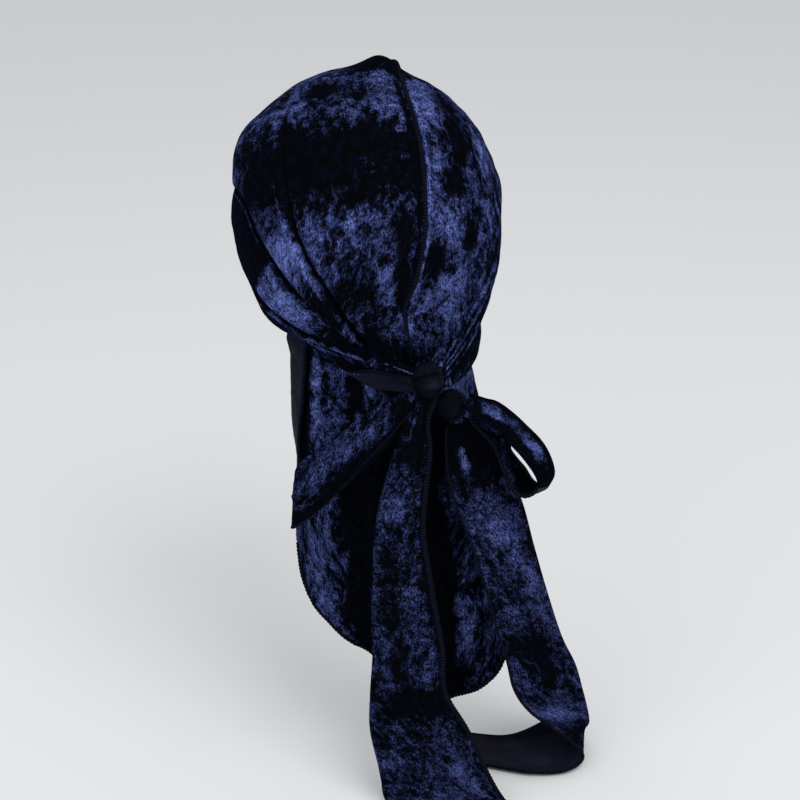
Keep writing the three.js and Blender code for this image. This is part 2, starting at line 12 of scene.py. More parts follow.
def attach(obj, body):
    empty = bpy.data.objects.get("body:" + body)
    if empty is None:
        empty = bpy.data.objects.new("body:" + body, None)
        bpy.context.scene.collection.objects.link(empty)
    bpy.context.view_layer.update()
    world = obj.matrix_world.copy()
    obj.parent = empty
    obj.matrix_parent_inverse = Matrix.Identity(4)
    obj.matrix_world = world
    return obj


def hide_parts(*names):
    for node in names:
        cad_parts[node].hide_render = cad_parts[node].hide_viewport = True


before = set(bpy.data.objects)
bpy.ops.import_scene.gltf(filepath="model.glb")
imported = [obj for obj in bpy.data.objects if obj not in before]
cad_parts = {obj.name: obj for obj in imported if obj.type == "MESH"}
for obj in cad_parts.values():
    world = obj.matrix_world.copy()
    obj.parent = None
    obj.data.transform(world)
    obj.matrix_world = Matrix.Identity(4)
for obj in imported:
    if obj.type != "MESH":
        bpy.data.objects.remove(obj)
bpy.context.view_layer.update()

# ---- Crown panels ----
# Two half domes of crushed velvet, joined along the middle. The pile faces out and the knitted back
# faces in. The straps press the cloth in at the sides and draw it into folds that run to the tie.
CLOTH = 1.5                         # velvet and its backing
HEAD = Vector((77.8, 96.4, 91.0))   # half sizes of the head form inside the cloth
HEAD_MIDDLE, HEAD_EGG = 5.3, 0.08   # height of its middle, how much wider it is at the top
RIM_FRONT, RIM_NAPE = 15.0, -58.0   # height of the rim at the forehead and at the nape
RIM_GAP = 0.6                       # the panels end this far above the rim
HEM_BAND, HEM_END = 18.0, 0.27      # depth of the forehead hem, and the place where it ends
CROWN_START, CROWN_END = 0.075, 0.978
STRAP_PRESS, STRAP_LIP = 3.4, 0.9   # how deep the straps press it, and the lip of cloth beside them
# place along the seam, and its lean in degrees
SEAM_LEAN = [(0.05, -2), (0.2, -9), (0.37, -10), (0.49, -7), (0.62, -6), (0.74, -5), (0.8, -2),
             (0.86, 4), (0.98, -10)]
# place, lean of the deep fold on the left
LEFT_FOLD = [(0.44, 26), (0.5, 28), (0.534, 30), (0.6, 34), (0.658, 37), (0.724, 39), (0.798, 40),
             (0.852, 42), (0.904, 43.5), (0.96, 49)]
RIGHT_FOLD = [(0.6, -32), (0.68, -43), (0.76, -50), (0.84, -60), (0.96, -66)]
# place, lean of the strap's upper edge, lean of its lower edge, how far that edge stands off
LEFT_STRAP = [(0.26, 75, 89, 0), (0.34, 67, 90, 0), (0.44, 59, 90, 0), (0.53, 53.5, 92, 0),
              (0.6, 55, 92, 0), (0.7, 55.5, 92, 0), (0.78, 56, 91, 0), (0.81, 54, 91, 0),
              (0.87, 52, 91, 0), (0.96, 52, 96, 0)]
RIGHT_STRAP = [(0.26, 75, 89, 0), (0.34, 67, 90, 0), (0.44, 60, 90, 0), (0.56, 54, 94, 0),
               (0.68, 48, 97, 1), (0.78, 50, 100, 8), (0.87, 58, 108, 10), (0.96, 64, 112, 9)]
# The sharp folds: their line, depth, and the side on which the cloth swells
SHARP_FOLDS = ((LEFT_FOLD, 3.6, 1), (RIGHT_FOLD, 1.4, -1))
# Cloth bunched behind the tie: x, z, reach across, reach up and down, share of its height
BUNCH, BUNCH_LIFT = [(-8, -60, 26, 30, 1.0)], 12
# The tuft at the top, beside the seam: place, millimetres off, reach along, reach across, height
TUFT, TUFT_SIDE = [(0.385, 0, 0.04, 9, 7)], 4
# Where the cloth is slack on the left: place, lean, reach along, reach across, height
SLACK = [(0.36, 46, 0.1, 10, 4.6)]
# Soft folds: from, to, lean at each end, width in degrees, height
SOFT_FOLDS = [
    (0.38, 0.96, 30, 55, 5.0, 1.6), (0.72, 0.97, 18, 26, 6.0, 1.2), (0.74, 0.97, -13, -17, 5.0, -1.1),
    (0.7, 0.97, -22, -34, 5.0, 1.2), (0.64, 0.96, -32, -52, 5.0, 1.1), (0.4, 0.62, 32, 37, 2.2, 0.8),
    (0.42, 0.64, 40, 45, 2.0, 0.8), (0.44, 0.8, 46, 49, 2.6, 0.9),
]
# Where the pile lies bright or dark: place, lean, reach along, reach across, change
CROWN_NAP = [
    (0.39, -4, 0.035, 8, -0.5), (0.455, -2, 0.02, 12, 0.12), (0.447, 15, 0.014, 5, -0.3),
    (0.5, 8, 0.05, 16, -0.05), (0.46, 14, 0.02, 5, -0.35), (0.47, 23, 0.03, 6, 0.22),
    (0.53, 1, 0.05, 11, 0.16), (0.51, 24, 0.02, 6, -0.1), (0.59, 3, 0.03, 13, -0.54),
    (0.575, 22, 0.045, 10, -0.52), (0.645, 9, 0.024, 18, -0.26), (0.54, 38, 0.09, 9, -0.34),
    (0.69, 20, 0.035, 14, 0.24), (0.685, 45, 0.045, 9, 0.42), (0.72, 2.5, 0.025, 3.5, -0.42),
    (0.7, 24, 0.01, 3, -0.3), (0.745, 10, 0.03, 9, 0.06), (0.8, 27, 0.035, 13, -0.25),
    (0.83, 4.5, 0.035, 2.2, -0.4), (0.79, 12, 0.02, 3.5, 0.1), (0.8, 4, 0.05, 4.5, -0.3),
    (0.86, 14, 0.03, 12, 0.05), (0.8, 46, 0.05, 5, -0.42), (0.9, 36, 0.05, 12, -0.2),
    (0.84, -2, 0.06, 3, 0.2), (0.52, -12, 0.06, 2.5, 0.3), (0.56, -21, 0.05, 6, -0.25),
    (0.555, -29, 0.03, 2.5, 0.35), (0.65, -10, 0.03, 3, 0.35), (0.65, -17, 0.025, 4, -0.35),
    (0.72, -15, 0.03, 8, 0.3), (0.72, -25, 0.025, 2.5, -0.5), (0.77, -11, 0.025, 5, -0.5),
    (0.8, -26, 0.05, 6, 0.25), (0.88, -20, 0.04, 14, 0.1), (0.8, -58, 0.08, 7, -0.4),
    (0.68, -34, 0.04, 4, 0.1), (0.53, 46, 0.045, 12, -0.3), (0.575, -1, 0.008, 5, 0.3),
    (0.62, 48, 0.03, 5, 0.1), (0.94, 10, 0.04, 60, -0.15), (0.668, 14, 0.018, 14, -0.24),
    (0.93, 6, 0.03, 18, -0.2), (0.925, -40, 0.02, 6, 0.3),
]


def held(x, low=0.0, high=1.0):
    return max(low, min(high, x))


def ease(x, low, high):
    share = held((x - low) / (high - low))
    return share * share * (3 - 2 * share)


def bell(x, width):
    return math.exp(-((x / width) ** 2))


def between(rows, place):
    """The columns of a table, smoothly, at a place; the first column says where each row lies."""
    last = len(rows) - 1
    i = 0
    while i < last - 1 and place > rows[i + 1][0]:
        i += 1
    s = held((place - rows[i][0]) / (rows[i + 1][0] - rows[i][0]))
    a, b, c, d = (rows[max(0, min(last, k))] for k in range(i - 1, i + 3))
    return [q + 0.5 * s * (r - p + s * (2 * p - 5 * q + 4 * r - u + s * (3 * (q - r) + u - p)))
            for p, q, r, u in zip(a[1:], b[1:], c[1:], d[1:])]


def patches(rows, x, y):
    """The sum of soft round patches at a place. A row is x, y, reach in x, reach in y, height."""
    return sum(height * bell(x - at_x, reach_x) * bell(y - at_y, reach_y)
               for at_x, at_y, reach_x, reach_y, height in rows)


def rough(x, y, z=0.0):
    """Wrinkle noise, from -1 to 1."""
    return noise.noise(Vector((x, y, z)))


def half_depth(z):
    return HEAD.y * math.sqrt(1 - ((z - HEAD_MIDDLE) / HEAD.z) ** 2)


FRONT = Vector((0, -half_depth(RIM_FRONT), RIM_FRONT))
NAPE = Vector((0, half_depth(RIM_NAPE), RIM_NAPE))
MIDDLE = (FRONT + NAPE) / 2
LEVEL = (NAPE - FRONT).normalized()
LEFT = Vector((1, 0, 0))
RISE = LEFT.cross(LEVEL).normalized()


def head_point(t, lean):
    """A place on the head form: t from the forehead over to the nape, lean towards the left."""
    turn, lean = math.pi * t, math.radians(lean)
    ray = -math.cos(turn) * LEVEL + math.sin(turn) * (math.cos(lean) * RISE + math.sin(lean) * LEFT)
    mx, my, mz = MIDDLE
    rx, ry, rz = ray
    low, high = 10.0, 200.0
    for _ in range(20):
        half = (low + high) / 2
        z = (mz + rz * half - HEAD_MIDDLE) / HEAD.z
        x = (mx + rx * half) / (HEAD.x * (1 + HEAD_EGG * z))
        y = (my + ry * half) / HEAD.y
        if x * x + y * y + z * z < 1:
            low = half
        else:
            high = half
    return MIDDLE + ray * low


def head_normal(p):
    return Vector((p.x / HEAD.x**2, p.y / HEAD.y**2, (p.z - HEAD_MIDDLE) / HEAD.z**2)).normalized()


def from_axis(p):
    reach = p - MIDDLE
    return (reach - LEVEL * reach.dot(LEVEL)).length


known_leans = {}


def lean_above(height, t, sign):
    """The lean at which the head form is that high above the plane of the rim."""
    place = round(height, 3), round(t, 5)
    if place not in known_leans:
        lean = 90.0
        for _ in range(12):
            lean = math.degrees(math.acos(held(height / from_axis(head_point(t, lean)), -1)))
        known_leans[place] = lean
    return sign * known_leans[place]


def strap_edge(t, lean):
    return between(LEFT_STRAP if lean > 0 else RIGHT_STRAP, t)[0]


def crown_lift(t, lean):
    """How far the middle of the crown's cloth lies off the head form."""
    p = head_point(t, lean)
    bunch = patches(BUNCH, p.x, p.z) if p.y > 0 else 0.0
    edge = strap_edge(t, lean)
    pressed = ease(abs(lean), edge - 3.6, edge + 0.8) * ease(t, 0.24, 0.4)
    lift = CLOTH / 2 + BUNCH_LIFT * bunch - STRAP_PRESS * pressed * (1 - bunch)
    lift += STRAP_LIP * bell(abs(lean) - edge + 6.5, 3) * ease(t, 0.35, 0.5) * (1 - bunch)
    for start, end, first, last, width, height in SOFT_FOLDS:
        share = (t - start) / (end - start)
        if 0 < share < 1:
            fade = ease(share, 0, 0.25) * (1 - ease(share, 0.9, 1))
            lift += height * fade * bell(lean - first - (last - first) * share, width)
    degree = math.radians(1) * from_axis(p)
    for fold, depth, side in SHARP_FOLDS:
        begins = fold[0][0]
        if t > begins:
            off = (lean - between(fold, t)[0]) * degree
            fade = ease(t, begins, begins + 0.14) * (1 - 0.6 * ease(t, 0.93, 0.97))
            lift += fade * (depth * (0.62 * bell(off - side * 3.4, 2.5) - bell(off, 1.3))
                            + 0.7 * bell(off + side * 4.5, 3))
    off_seam = lean - between(SEAM_LEAN, t)[0]
    lift += patches(TUFT, t, math.radians(off_seam - TUFT_SIDE) * HEAD.z) + patches(SLACK, t, lean)
    # the cloth dips on both sides of the seam
    dips = ease(t, 0.42, 0.5) * (1 - ease(t, 0.8, 0.9))
    lift -= 0.5 * bell(abs(off_seam * degree) - 3, 1.6) * dips
    # small pleats that fan out from the tie, and from the tuft at the top
    fan = ease(t, 0.78, 0.95) * (1 - pressed)
    lift += 0.55 * fan * math.sin(lean * 0.75 + 2 * rough(t * 6, lean * 0.05, 3))
    top = bell(t - 0.47, 0.07) * (1 - pressed)
    lift += 0.35 * top * math.sin(lean * 1.15 + 3 * rough(t * 5, lean * 0.04, 9))
    uneven = 0.45 * rough(p.x / 17, p.y / 17, p.z / 11) + 0.16 * rough(p.x / 5, p.y / 5, p.z / 4)
    return lift + uneven


def crown_point(t, lean, above=0.0):
    p = head_point(t, lean)
    return p + head_normal(p) * (crown_lift(t, lean) + above)


def piece_from(name, bm, materials):
    mesh = bpy.data.meshes.new(name)
    bm.to_mesh(mesh)
    bm.free()
    for material in materials:
        mesh.materials.append(material)
    piece = bpy.data.objects.new(name, mesh)
    bpy.context.scene.collection.objects.link(piece)
    return piece


def lay_out(bm, lengths, where):
    """Smooths the faces, and gives each corner its two lengths on the cloth in metres."""
    for face in bm.faces:
        face.smooth = True
        for loop in face.loops:
            loop[lengths].uv = where(loop.vert)


BACK_OUT, PILE_BOTH = 1, 2


def sheet_of_cloth(name, across, along, shape, pile_and_shade, materials, cloth=CLOTH, flip=False, turned=None):
    """A cut of cloth. shape(s, d) gives the middle of the cloth, and s and d run from 0 to 1. Its UV
    map holds lengths on the cloth in metres, and a vertex layer holds how bright the pile lies, with
    painted shade and painted highlights in it. turned(s, d) is BACK_OUT where the cloth lies back to
    front, and PILE_BOTH where both its sides are pile."""
    bm = bmesh.new()
    lie_and_shade = bm.verts.layers.float.new("pile_and_shade")
    lengths = bm.loops.layers.uv.new("cloth")
    bmesh.ops.create_grid(bm, x_segments=across, y_segments=along, size=0.5)
    spot = {}
    for v in bm.verts:
        spot[round((v.co.x + 0.5) * across), round((v.co.y + 0.5) * along)] = v
    for (i, j), v in spot.items():
        s, d = i / across, j / along
        v.co = shape(s, d) * 0.001
        # the layer holds the pile's tone together with painted shade and painted highlights
        v[lie_and_shade] = pile_and_shade(s, d)
    cell = {v: key for key, v in spot.items()}
    place = {}
    down = 0.0
    for j in range(along + 1):
        if j:
            down += sum((spot[i, j].co - spot[i, j - 1].co).length
                        for i in (0, across // 4, across // 2)) / 3
        side = 0.0
        for i in range(across + 1):
            if i:
                side += (spot[i, j].co - spot[i - 1, j].co).length
            place[spot[i, j]] = (side, down)
    lay_out(bm, lengths, place.get)
    if turned:
        for face in bm.faces:
            i, j = cell[face.verts[0]]
            face.material_index = turned(i / across, j / along)
    if flip:
        bmesh.ops.reverse_faces(bm, faces=bm.faces)
    piece = piece_from(name, bm, materials)
    wall = piece.modifiers.new("cloth", "SOLIDIFY")
    wall.thickness, wall.offset = cloth * 0.001, 0.0
    wall.material_offset, wall.material_offset_rim = 1, 0
    return piece


def feed(tree, made, inputs):
    """Links or sets the inputs of a shader node."""
    for socket, value in inputs.items():
        if isinstance(value, bpy.types.NodeSocket):
            tree.links.new(value, made.inputs[socket])
        else:
            made.inputs[socket].default_value = value


def node(tree, kind, inputs=None, **settings):
    made = tree.nodes.new(kind)
    for key, value in settings.items():
        setattr(made, key, value)
    feed(tree, made, inputs or {})
    return made


def noise_fac(tree, place, scale, detail, roughness=0.5, distortion=0.0):
    return node(tree, "ShaderNodeTexNoise",
                {"Vector": place, "Scale": scale, "Detail": detail, "Roughness": roughness,
                 "Distortion": distortion}).outputs["Fac"]


def stretched_place(tree, place, scale):
    return node(tree, "ShaderNodeMapping", {"Vector": place, "Scale": scale}).outputs[0]


def ranged(tree, value, low, high, to_low=0.0, to_high=1.0):
    return node(tree, "ShaderNodeMapRange",
                {"Value": value, "From Min": low, "From Max": high, "To Min": to_low,
                 "To Max": to_high}).outputs[0]


def clamped(tree, value, high=1.0):
    return node(tree, "ShaderNodeClamp", {"Value": value, "Max": high}).outputs[0]


def bumped(tree, height, strength, distance):
    return node(tree, "ShaderNodeBump", {"Height": height, "Strength": strength,
                                         "Distance": distance}).outputs[0]


def blend_colours(tree, share, first, second):
    return node(tree, "ShaderNodeMix", {"Factor": share, 6: first, 7: second},
                data_type="RGBA").outputs[2]


def math_of(tree, operation, first, second=0.0, third=0.0):
    return node(tree, "ShaderNodeMath", {0: first, 1: second, 2: third},
                operation=operation).outputs[0]


def scaled(tree, value, by, plus=None):
    if plus is None:
        return math_of(tree, "MULTIPLY", value, by)
    return math_of(tree, "MULTIPLY_ADD", value, by, plus)


def group_of(name, inputs, outputs):
    tree = bpy.data.node_groups.new(name, "ShaderNodeTree")
    for label, kind, value in inputs:
        made = tree.interface.new_socket(label, in_out="INPUT", socket_type=kind)
        if value is not None:
            made.default_value = value
    for label, kind in outputs:
        tree.interface.new_socket(label, in_out="OUTPUT", socket_type=kind)
    return tree, tree.nodes.new("NodeGroupInput").outputs, tree.nodes.new("NodeGroupOutput").inputs


# Crushed pile: patches where the pile was pressed flat catch the light, the rest drinks it. The
# patches are ragged, longer down the cloth than across it, and full of fine grain.
crushed_pile, given, put = group_of(
    "crushed_pile",
    [("Cloth", "NodeSocketVector", None), ("PileAndShade", "NodeSocketFloat", 0.5),
     ("Deep", "NodeSocketColor", (0.0015, 0.0019, 0.0026, 1)),
     ("Dusk", "NodeSocketColor", (0.0095, 0.013, 0.053, 1)),
     ("Laid", "NodeSocketColor", (0.125, 0.168, 0.455, 1)),
     ("Patch", "NodeSocketFloat", 62.0), ("Contrast", "NodeSocketFloat", 1.0)],
    [("Color", "NodeSocketColor"), ("Roughness", "NodeSocketFloat"), ("Height", "NodeSocketFloat")])
t = crushed_pile
drawn = stretched_place(t, given["Cloth"], (1, 0.7, 1))
broad = noise_fac(t, drawn, given["Patch"], 3.0, 0.55, 0.6)
ragged = noise_fac(t, drawn, scaled(t, given["Patch"], 3.7), 4.0, 0.62, 0.5)
fibre = noise_fac(t, stretched_place(t, given["Cloth"], (1, 0.55, 1)), 1050.0, 2.0, 0.7, 0.4)
level = scaled(t, math_of(t, "SUBTRACT", broad, 0.5), 1.25)
level = scaled(t, math_of(t, "SUBTRACT", ragged, 0.5), 1.6, level)
# the per-vertex brightness of the pile, with its painted shade and painted highlights, sets the level
crush = scaled(t, given["Contrast"], scaled(t, given["PileAndShade"], 0.55, 0.58))
level = scaled(t, level, crush, -0.11)
level = math_of(t, "ADD", level, given["PileAndShade"])
level = scaled(t, math_of(t, "SUBTRACT", fibre, 0.5), 0.55, level)
speck = ranged(t, fibre, 0.38, 0.62, 0.15, 1.7)
laid = math_of(t, "POWER", ranged(t, level, 0.22, 1.02), 1.9)
laid = clamped(t, scaled(t, laid, speck))
# a dim navy that shows between the patches
dim = scaled(t, ranged(t, ragged, 0.42, 0.66, to_high=0.12), speck)
navy = clamped(t, scaled(t, laid, 6.5, dim))
shade = blend_colours(t, navy, given["Deep"], given["Dusk"])
t.links.new(blend_colours(t, laid, shade, given["Laid"]), put["Color"])
t.links.new(scaled(t, laid, -0.2, 0.9), put["Roughness"])
t.links.new(scaled(t, fibre, 0.5, level), put["Height"])


def plain_material(name):
    material = bpy.data.materials.new(name)
    material.use_nodes = True
    return material, material.node_tree, material.node_tree.nodes["Principled BSDF"]


def lengths_on(tree):
    return node(tree, "ShaderNodeUVMap", uv_map="cloth").outputs[0]


# reads the vertex layer of pile tone with its painted shade and painted highlights
def pile_and_shade_on(tree):
    return node(tree, "ShaderNodeAttribute", attribute_name="pile_and_shade").outputs["Fac"]


def velvet_finish(name, contrast):
    material, tree, surface = plain_material(name)
    pile = node(tree, "ShaderNodeGroup", {"Cloth": lengths_on(tree), "PileAndShade": pile_and_shade_on(tree),
                                          "Contrast": contrast}, node_tree=crushed_pile).outputs
    feed(tree, surface, {"Base Color": pile["Color"], "Roughness": pile["Roughness"],
                         "Normal": bumped(tree, pile["Height"], 0.5, 0.001),
                         "Specular IOR Level": 0.0, "Sheen Weight": 0.03, "Sheen Roughness": 0.3,
                         "Sheen Tint": (0.2, 0.27, 0.7, 1)})
    return material


velvet = velvet_finish("navy_crushed_velvet", 1.0)
calm_velvet = velvet_finish("calm_crushed_velvet", 0.72)

# The back of the velvet: a close, smooth knit with a soft gloss and faint ribs down the cloth.
knit_back, tree, surface = plain_material("knitted_back")
lengths = lengths_on(tree)
ribs = node(tree, "ShaderNodeTexWave", {"Vector": lengths, "Scale": 260.0, "Distortion": 1.2,
                                        "Detail": 2.0, "Detail Scale": 2.0},
            bands_direction="X").outputs["Fac"]
cloud = noise_fac(tree, stretched_place(tree, lengths, (1, 0.3, 1)), 60.0, 5.0)
cloud = ranged(tree, cloud, 0.35, 0.65)
tone = scaled(tree, ribs, 0.25, scaled(tree, cloud, 0.5, 0.15))
# the knit is painted darker and lighter from the same vertex layer, which holds painted shade, as
# inside the right loop
tone_and_shade = clamped(tree, scaled(tree, pile_and_shade_on(tree), 1.2, 0.45), 1.6)
tone = clamped(tree, scaled(tree, tone, tone_and_shade))
feed(tree, surface, {
    "Base Color": blend_colours(tree, tone, (0.0012, 0.0014, 0.003, 1), (0.0102, 0.0113, 0.0275, 1)),
    "Normal": bumped(tree, ribs, 0.25, 0.0004), "Roughness": 0.5, "Specular IOR Level": 0.03,
    "Sheen Weight": 0.03, "Sheen Tint": (0.4, 0.42, 0.6, 1)})


def crown_shape(sign):
    """The shape of one panel: s runs from the seam to the rim, d from the forehead to the tie."""
    def shape(s, d):
        t = CROWN_START + (CROWN_END - CROWN_START) * d
        hem = (HEM_BAND + 1.2) * (1 - ease(t, HEM_END + 0.006, HEM_END + 0.014))
        edge = lean_above(RIM_GAP + hem, t, sign)
        beside_seam = math.degrees(0.35 / max(5, from_axis(head_point(t, 0))))
        start = between(SEAM_LEAN, t)[0] + sign * beside_seam
        return t, start + (edge - start) * s**1.15
    return shape


def crown_pile_and_shade(t, lean):
    """How bright the pile lies. Shade is painted in the folds, beside the seam and under the straps,
    and highlights are painted on the lips of the folds and beside the seam.
    """
    lie_and_shade = 0.5 + patches(CROWN_NAP, t, lean)
    # painted shade down each sharp fold, and a painted highlight on its lip
    for fold, width, side in ((LEFT_FOLD, 1.15, 1), (RIGHT_FOLD, 1.1, -1)):
        begins = fold[0][0]
        if t > begins:
            off = (lean - between(fold, t)[0]) * 1.35
            lie_and_shade -= 0.8 * bell(off, width) * ease(t, begins, begins + 0.08)
            lie_and_shade += 0.25 * bell(off - side * 4, 1.2) * ease(t, begins, begins + 0.05)
    # a painted highlight on one side of the seam and painted shade on the other
    off = (lean - between(SEAM_LEAN, t)[0]) * 1.4
    run = ease(t, 0.42, 0.5) * (1 - ease(t, 0.78, 0.86))
    lie_and_shade += run * (0.3 * bell(off + 2.6, 0.9) - 0.5 * bell(off - 2.2, 1.3))
    # painted shade where the straps press the crown in
    edge = strap_edge(t, lean)
    lie_and_shade -= 0.7 * ease(abs(lean), edge - 3.0, edge - 1.0) * ease(t, 0.3, 0.4)
    return held(lie_and_shade, -0.6, 1.3)


for name, sign, cut in (("crown_left", 1, 0.0371), ("crown_right", -1, 0.03)):
    where = crown_shape(sign)
    panel = sheet_of_cloth(name + "_cloth", 110, 190, lambda s, d: crown_point(*where(s, d)),
                           lambda s, d: crown_pile_and_shade(*where(s, d)), (velvet, knit_back), flip=sign < 0)
    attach(panel, "root")
    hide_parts(name)

# ---- Centre seam ----
# The edges of the panels are rolled together and whipped over with thread, from the forehead over
# the top to the tie.


def even_steps(line, step):
    """The line again with its points about that far apart, evenly."""
    length = [0.0]
    for a, b in zip(line, line[1:]):
        length.append(length[-1] + (b - a).length)
    count = max(2, round(length[-1] / step))
    points, k = [], 0
    for i in range(count + 1):
        want = length[-1] * i / count
        while k < len(line) - 2 and length[k + 1] < want:
            k += 1
        share = (want - length[k]) / max(1e-9, length[k + 1] - length[k])
        points.append(line[k].lerp(line[k + 1], held(share)))
    return points


def whipped_edge(name, line, out, width, height, stitch=2.4, taper=(3, 3), ribs=0.1, narrows=0.0):
    """A rolled edge whipped over with thread: a flattened tube on a line, with a rib for each stitch.
    out(share, point) is the way its top faces, and it loses narrows of its width along its length."""
    round_it, step = 10, stitch / 4
    points = even_steps(line, step)
    last = len(points) - 1
    bm = bmesh.new()
    lengths = bm.loops.layers.uv.new("cloth")
    bmesh.ops.create_grid(bm, x_segments=round_it, y_segments=last, size=0.5)
    spot = {}
    for v in bm.verts:
        spot[v] = (round((v.co.x + 0.5) * round_it), round((v.co.y + 0.5) * last))
    for v, (i, j) in spot.items():
        along = (points[min(last, j + 1)] - points[max(0, j - 1)]).normalized()
        up = out(j / last, points[j])
        up = (up - along * up.dot(along)).normalized()
        across = along.cross(up)
        turn = 2 * math.pi * i / round_it
        swell = 1 + ribs * math.cos(math.pi * j / 2)
        for end, length in ((j, taper[0]), (last - j, taper[1])):
            swell *= math.sqrt(ease(end * step, -0.02, max(1.2, length)))
        side = across * math.cos(turn) * width * (1 - narrows * j / last) / 2
        v.co = (points[j] + (side + up * math.sin(turn) * height / 2) * swell) * 0.001
    lay_out(bm, lengths, lambda v: (spot[v][0] / round_it, spot[v][1] * step * 0.001))
    bmesh.ops.remove_doubles(bm, verts=bm.verts, dist=1e-6)
    bmesh.ops.recalc_face_normals(bm, faces=bm.faces)
    return piece_from(name, bm, [whipped_thread])


def stitch_rows(name, lines, step, length, width):
    """Sewing stitches: short grains of thread set end to end along each line of (point, normal)."""
    bm = bmesh.new()
    lengths = bm.loops.layers.uv.new("cloth")
    for line in lines:
        spots = even_steps([p for p, _ in line], step)
        for k in range(len(spots) - 1):
            up = line[min(len(line) - 1, k * len(line) // len(spots))][1]
            along = (spots[k + 1] - spots[k]).normalized()
            across = along.cross(up).normalized()
            grain = Matrix((along * length / 2, across * width / 2, along.cross(across) * -width / 2))
            middle = Matrix.Translation((spots[k] + spots[k + 1]) * 0.0005)
            bmesh.ops.create_icosphere(bm, subdivisions=1, radius=0.001,
                                       matrix=middle @ grain.transposed().to_4x4())
    lay_out(bm, lengths, lambda v: (v.co.x, v.co.z))
    return piece_from(name, bm, [whipped_thread])


# Whipped thread: dark navy loops side by side, with a painted highlight on top of each loop.
whipped_thread, tree, surface = plain_material("whipped_thread")
loops = node(tree, "ShaderNodeTexWave", {"Vector": lengths_on(tree), "Scale": 170.0,
                                         "Distortion": 0.6, "Detail": 1.0},
             bands_direction="Y").outputs["Fac"]
fuzz = noise_fac(tree, node(tree, "ShaderNodeTexCoord").outputs["Object"], 1400.0, 3.0)
# a painted highlight on top of each loop, over random fuzz
tone = scaled(tree, fuzz, 0.7, scaled(tree, loops, 0.5, -0.25))
feed(tree, surface, {
    "Base Color": blend_colours(tree, tone, (0.0014, 0.0017, 0.003, 1), (0.012, 0.014, 0.0265, 1)),
    "Normal": bumped(tree, math_of(tree, "ADD", loops, fuzz), 0.5, 0.0004), "Roughness": 0.85,
    "Specular IOR Level": 0.0, "Sheen Weight": 0.01, "Sheen Tint": (0.4, 0.45, 0.8, 1)})

SEAM_STANDS, SEAM_SINKS = 1.25, 0.8     # how far its middle stands off, and sinks lower down
seam_line = []
for t in (k / 200 for k in range(15, 196)):
    stands = SEAM_STANDS - SEAM_SINKS * ease(t, 0.7, 0.8)
    seam_line.append(crown_point(t, between(SEAM_LEAN, t)[0], stands))
seam = whipped_edge("centre_seam_whipped", seam_line, lambda share, p: head_normal(p), 2.5, 2.5,
                    stitch=1.9, taper=(4, 60), ribs=0.05)
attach(seam, "root")
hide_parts("centre_seam")

# ---- Forehead hem ----
# A flat band of turned cloth from temple to temple, sewn down with two rows of stitches.
SEWN_AT = (0.64, 0.79)                  # how far up the band the two rows of stitches lie
DRAWN_IN = ((14.5, 0.5), (12.0, 0.4))   # heights where they draw the cloth in, and how far


def hem_point(s, d):
    """s runs from the right temple to the left one, d from the rim up."""
    place = HEM_END * (2 * s - 1)
    t, sign = abs(place), 1 if place >= 0 else -1
    height = RIM_GAP + (HEM_BAND - RIM_GAP) * d
    swell = CLOTH / 2 + 0.5 * math.sin(math.pi * held(d))
    for row, depth in DRAWN_IN:
        swell -= depth * bell(height - row, 0.8)
    far = head_point(t, lean_above(height, max(t, 0.001), sign))
    raised = far + head_normal(far) * swell
    # all leans meet in the middle of the forehead, so there the band is laid on the form from ahead
    flat = FRONT + RISE * height + LEFT * place * math.pi * HEAD.y
    flat.y = -HEAD.y * math.sqrt(max(0.01, 1 - (flat.x / HEAD.x) ** 2 - (flat.z / HEAD.z) ** 2))
    flat = flat + head_normal(flat) * swell
    return flat.lerp(raised, ease(t, 0.06, 0.14))


band = sheet_of_cloth("front_hem_cloth", 150, 20, hem_point, lambda s, d: 0.3, (velvet, knit_back))
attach(band, "root")
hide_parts("front_hem")
hem_rows = []
for d in SEWN_AT:
    line = [hem_point(s / 160, d) for s in range(4, 157)]
    hem_rows.append([(p + head_normal(p) * 0.85, head_normal(p)) for p in line])
stitches = stitch_rows("front_hem_stitches", hem_rows, 2.8, 2.2, 0.7)
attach(stitches, "root")

# ---- Side straps ----
# A strap runs from each temple over the side of the head to the tie, where it is drawn into a bunch.
STRAP_START, STRAP_END, BUNCHES_FROM = 0.262, 0.955, 0.8
# where each strap's two edges go in under the tie
STRAP_ENDS = {
    "left": (Vector((-3, 98, -50)), Vector((-3, 98, -65.5))),
    "right": (Vector((-17, 95, -50)), Vector((-17, 95, -63))),
}
STRAP_REST = CLOTH + 0.35   # how far a strap's cloth lies off the crown's
DOUBLE_EDGE = 0.14          # share of the left strap's width where both sides are pile
COVERSTITCH_FROM = 0.8565   # where the stitches along its turned edge begin
# where the pleats lie across the right strap
RIGHT_PLEATS = (0.16, 0.36, 0.56, 0.76)
# place, where the deep crease lies across the left strap
LEFT_CREASE = [(0.6, 0.56), (0.7, 0.57), (0.8, 0.55), (0.857, 0.32), (0.9, 0.05), (0.96, -0.1)]
# place, how far across the left strap its turned edge begins
LEFT_TURN = [(0.85, 1.0), (0.861, 0.76), (0.868, 0.65), (0.874, 0.58), (0.886, 0.53), (0.903, 0.484),
             (0.918, 0.445), (0.96, 0.42)]


def strap_place(d):
    return STRAP_START + (STRAP_END - STRAP_START) * d


def clear_of_crown(p, clearance):
    """The same place, or the one straight out from it that clears the crown."""
    ray = p - MIDDLE
    t = math.atan2(from_axis(p), -ray.dot(LEVEL)) / math.pi
    lean = math.degrees(math.atan2(ray.dot(LEFT), ray.dot(RISE)))
    on_crown = crown_point(t, lean, clearance)
    return on_crown if (on_crown - MIDDLE).length > ray.length else p


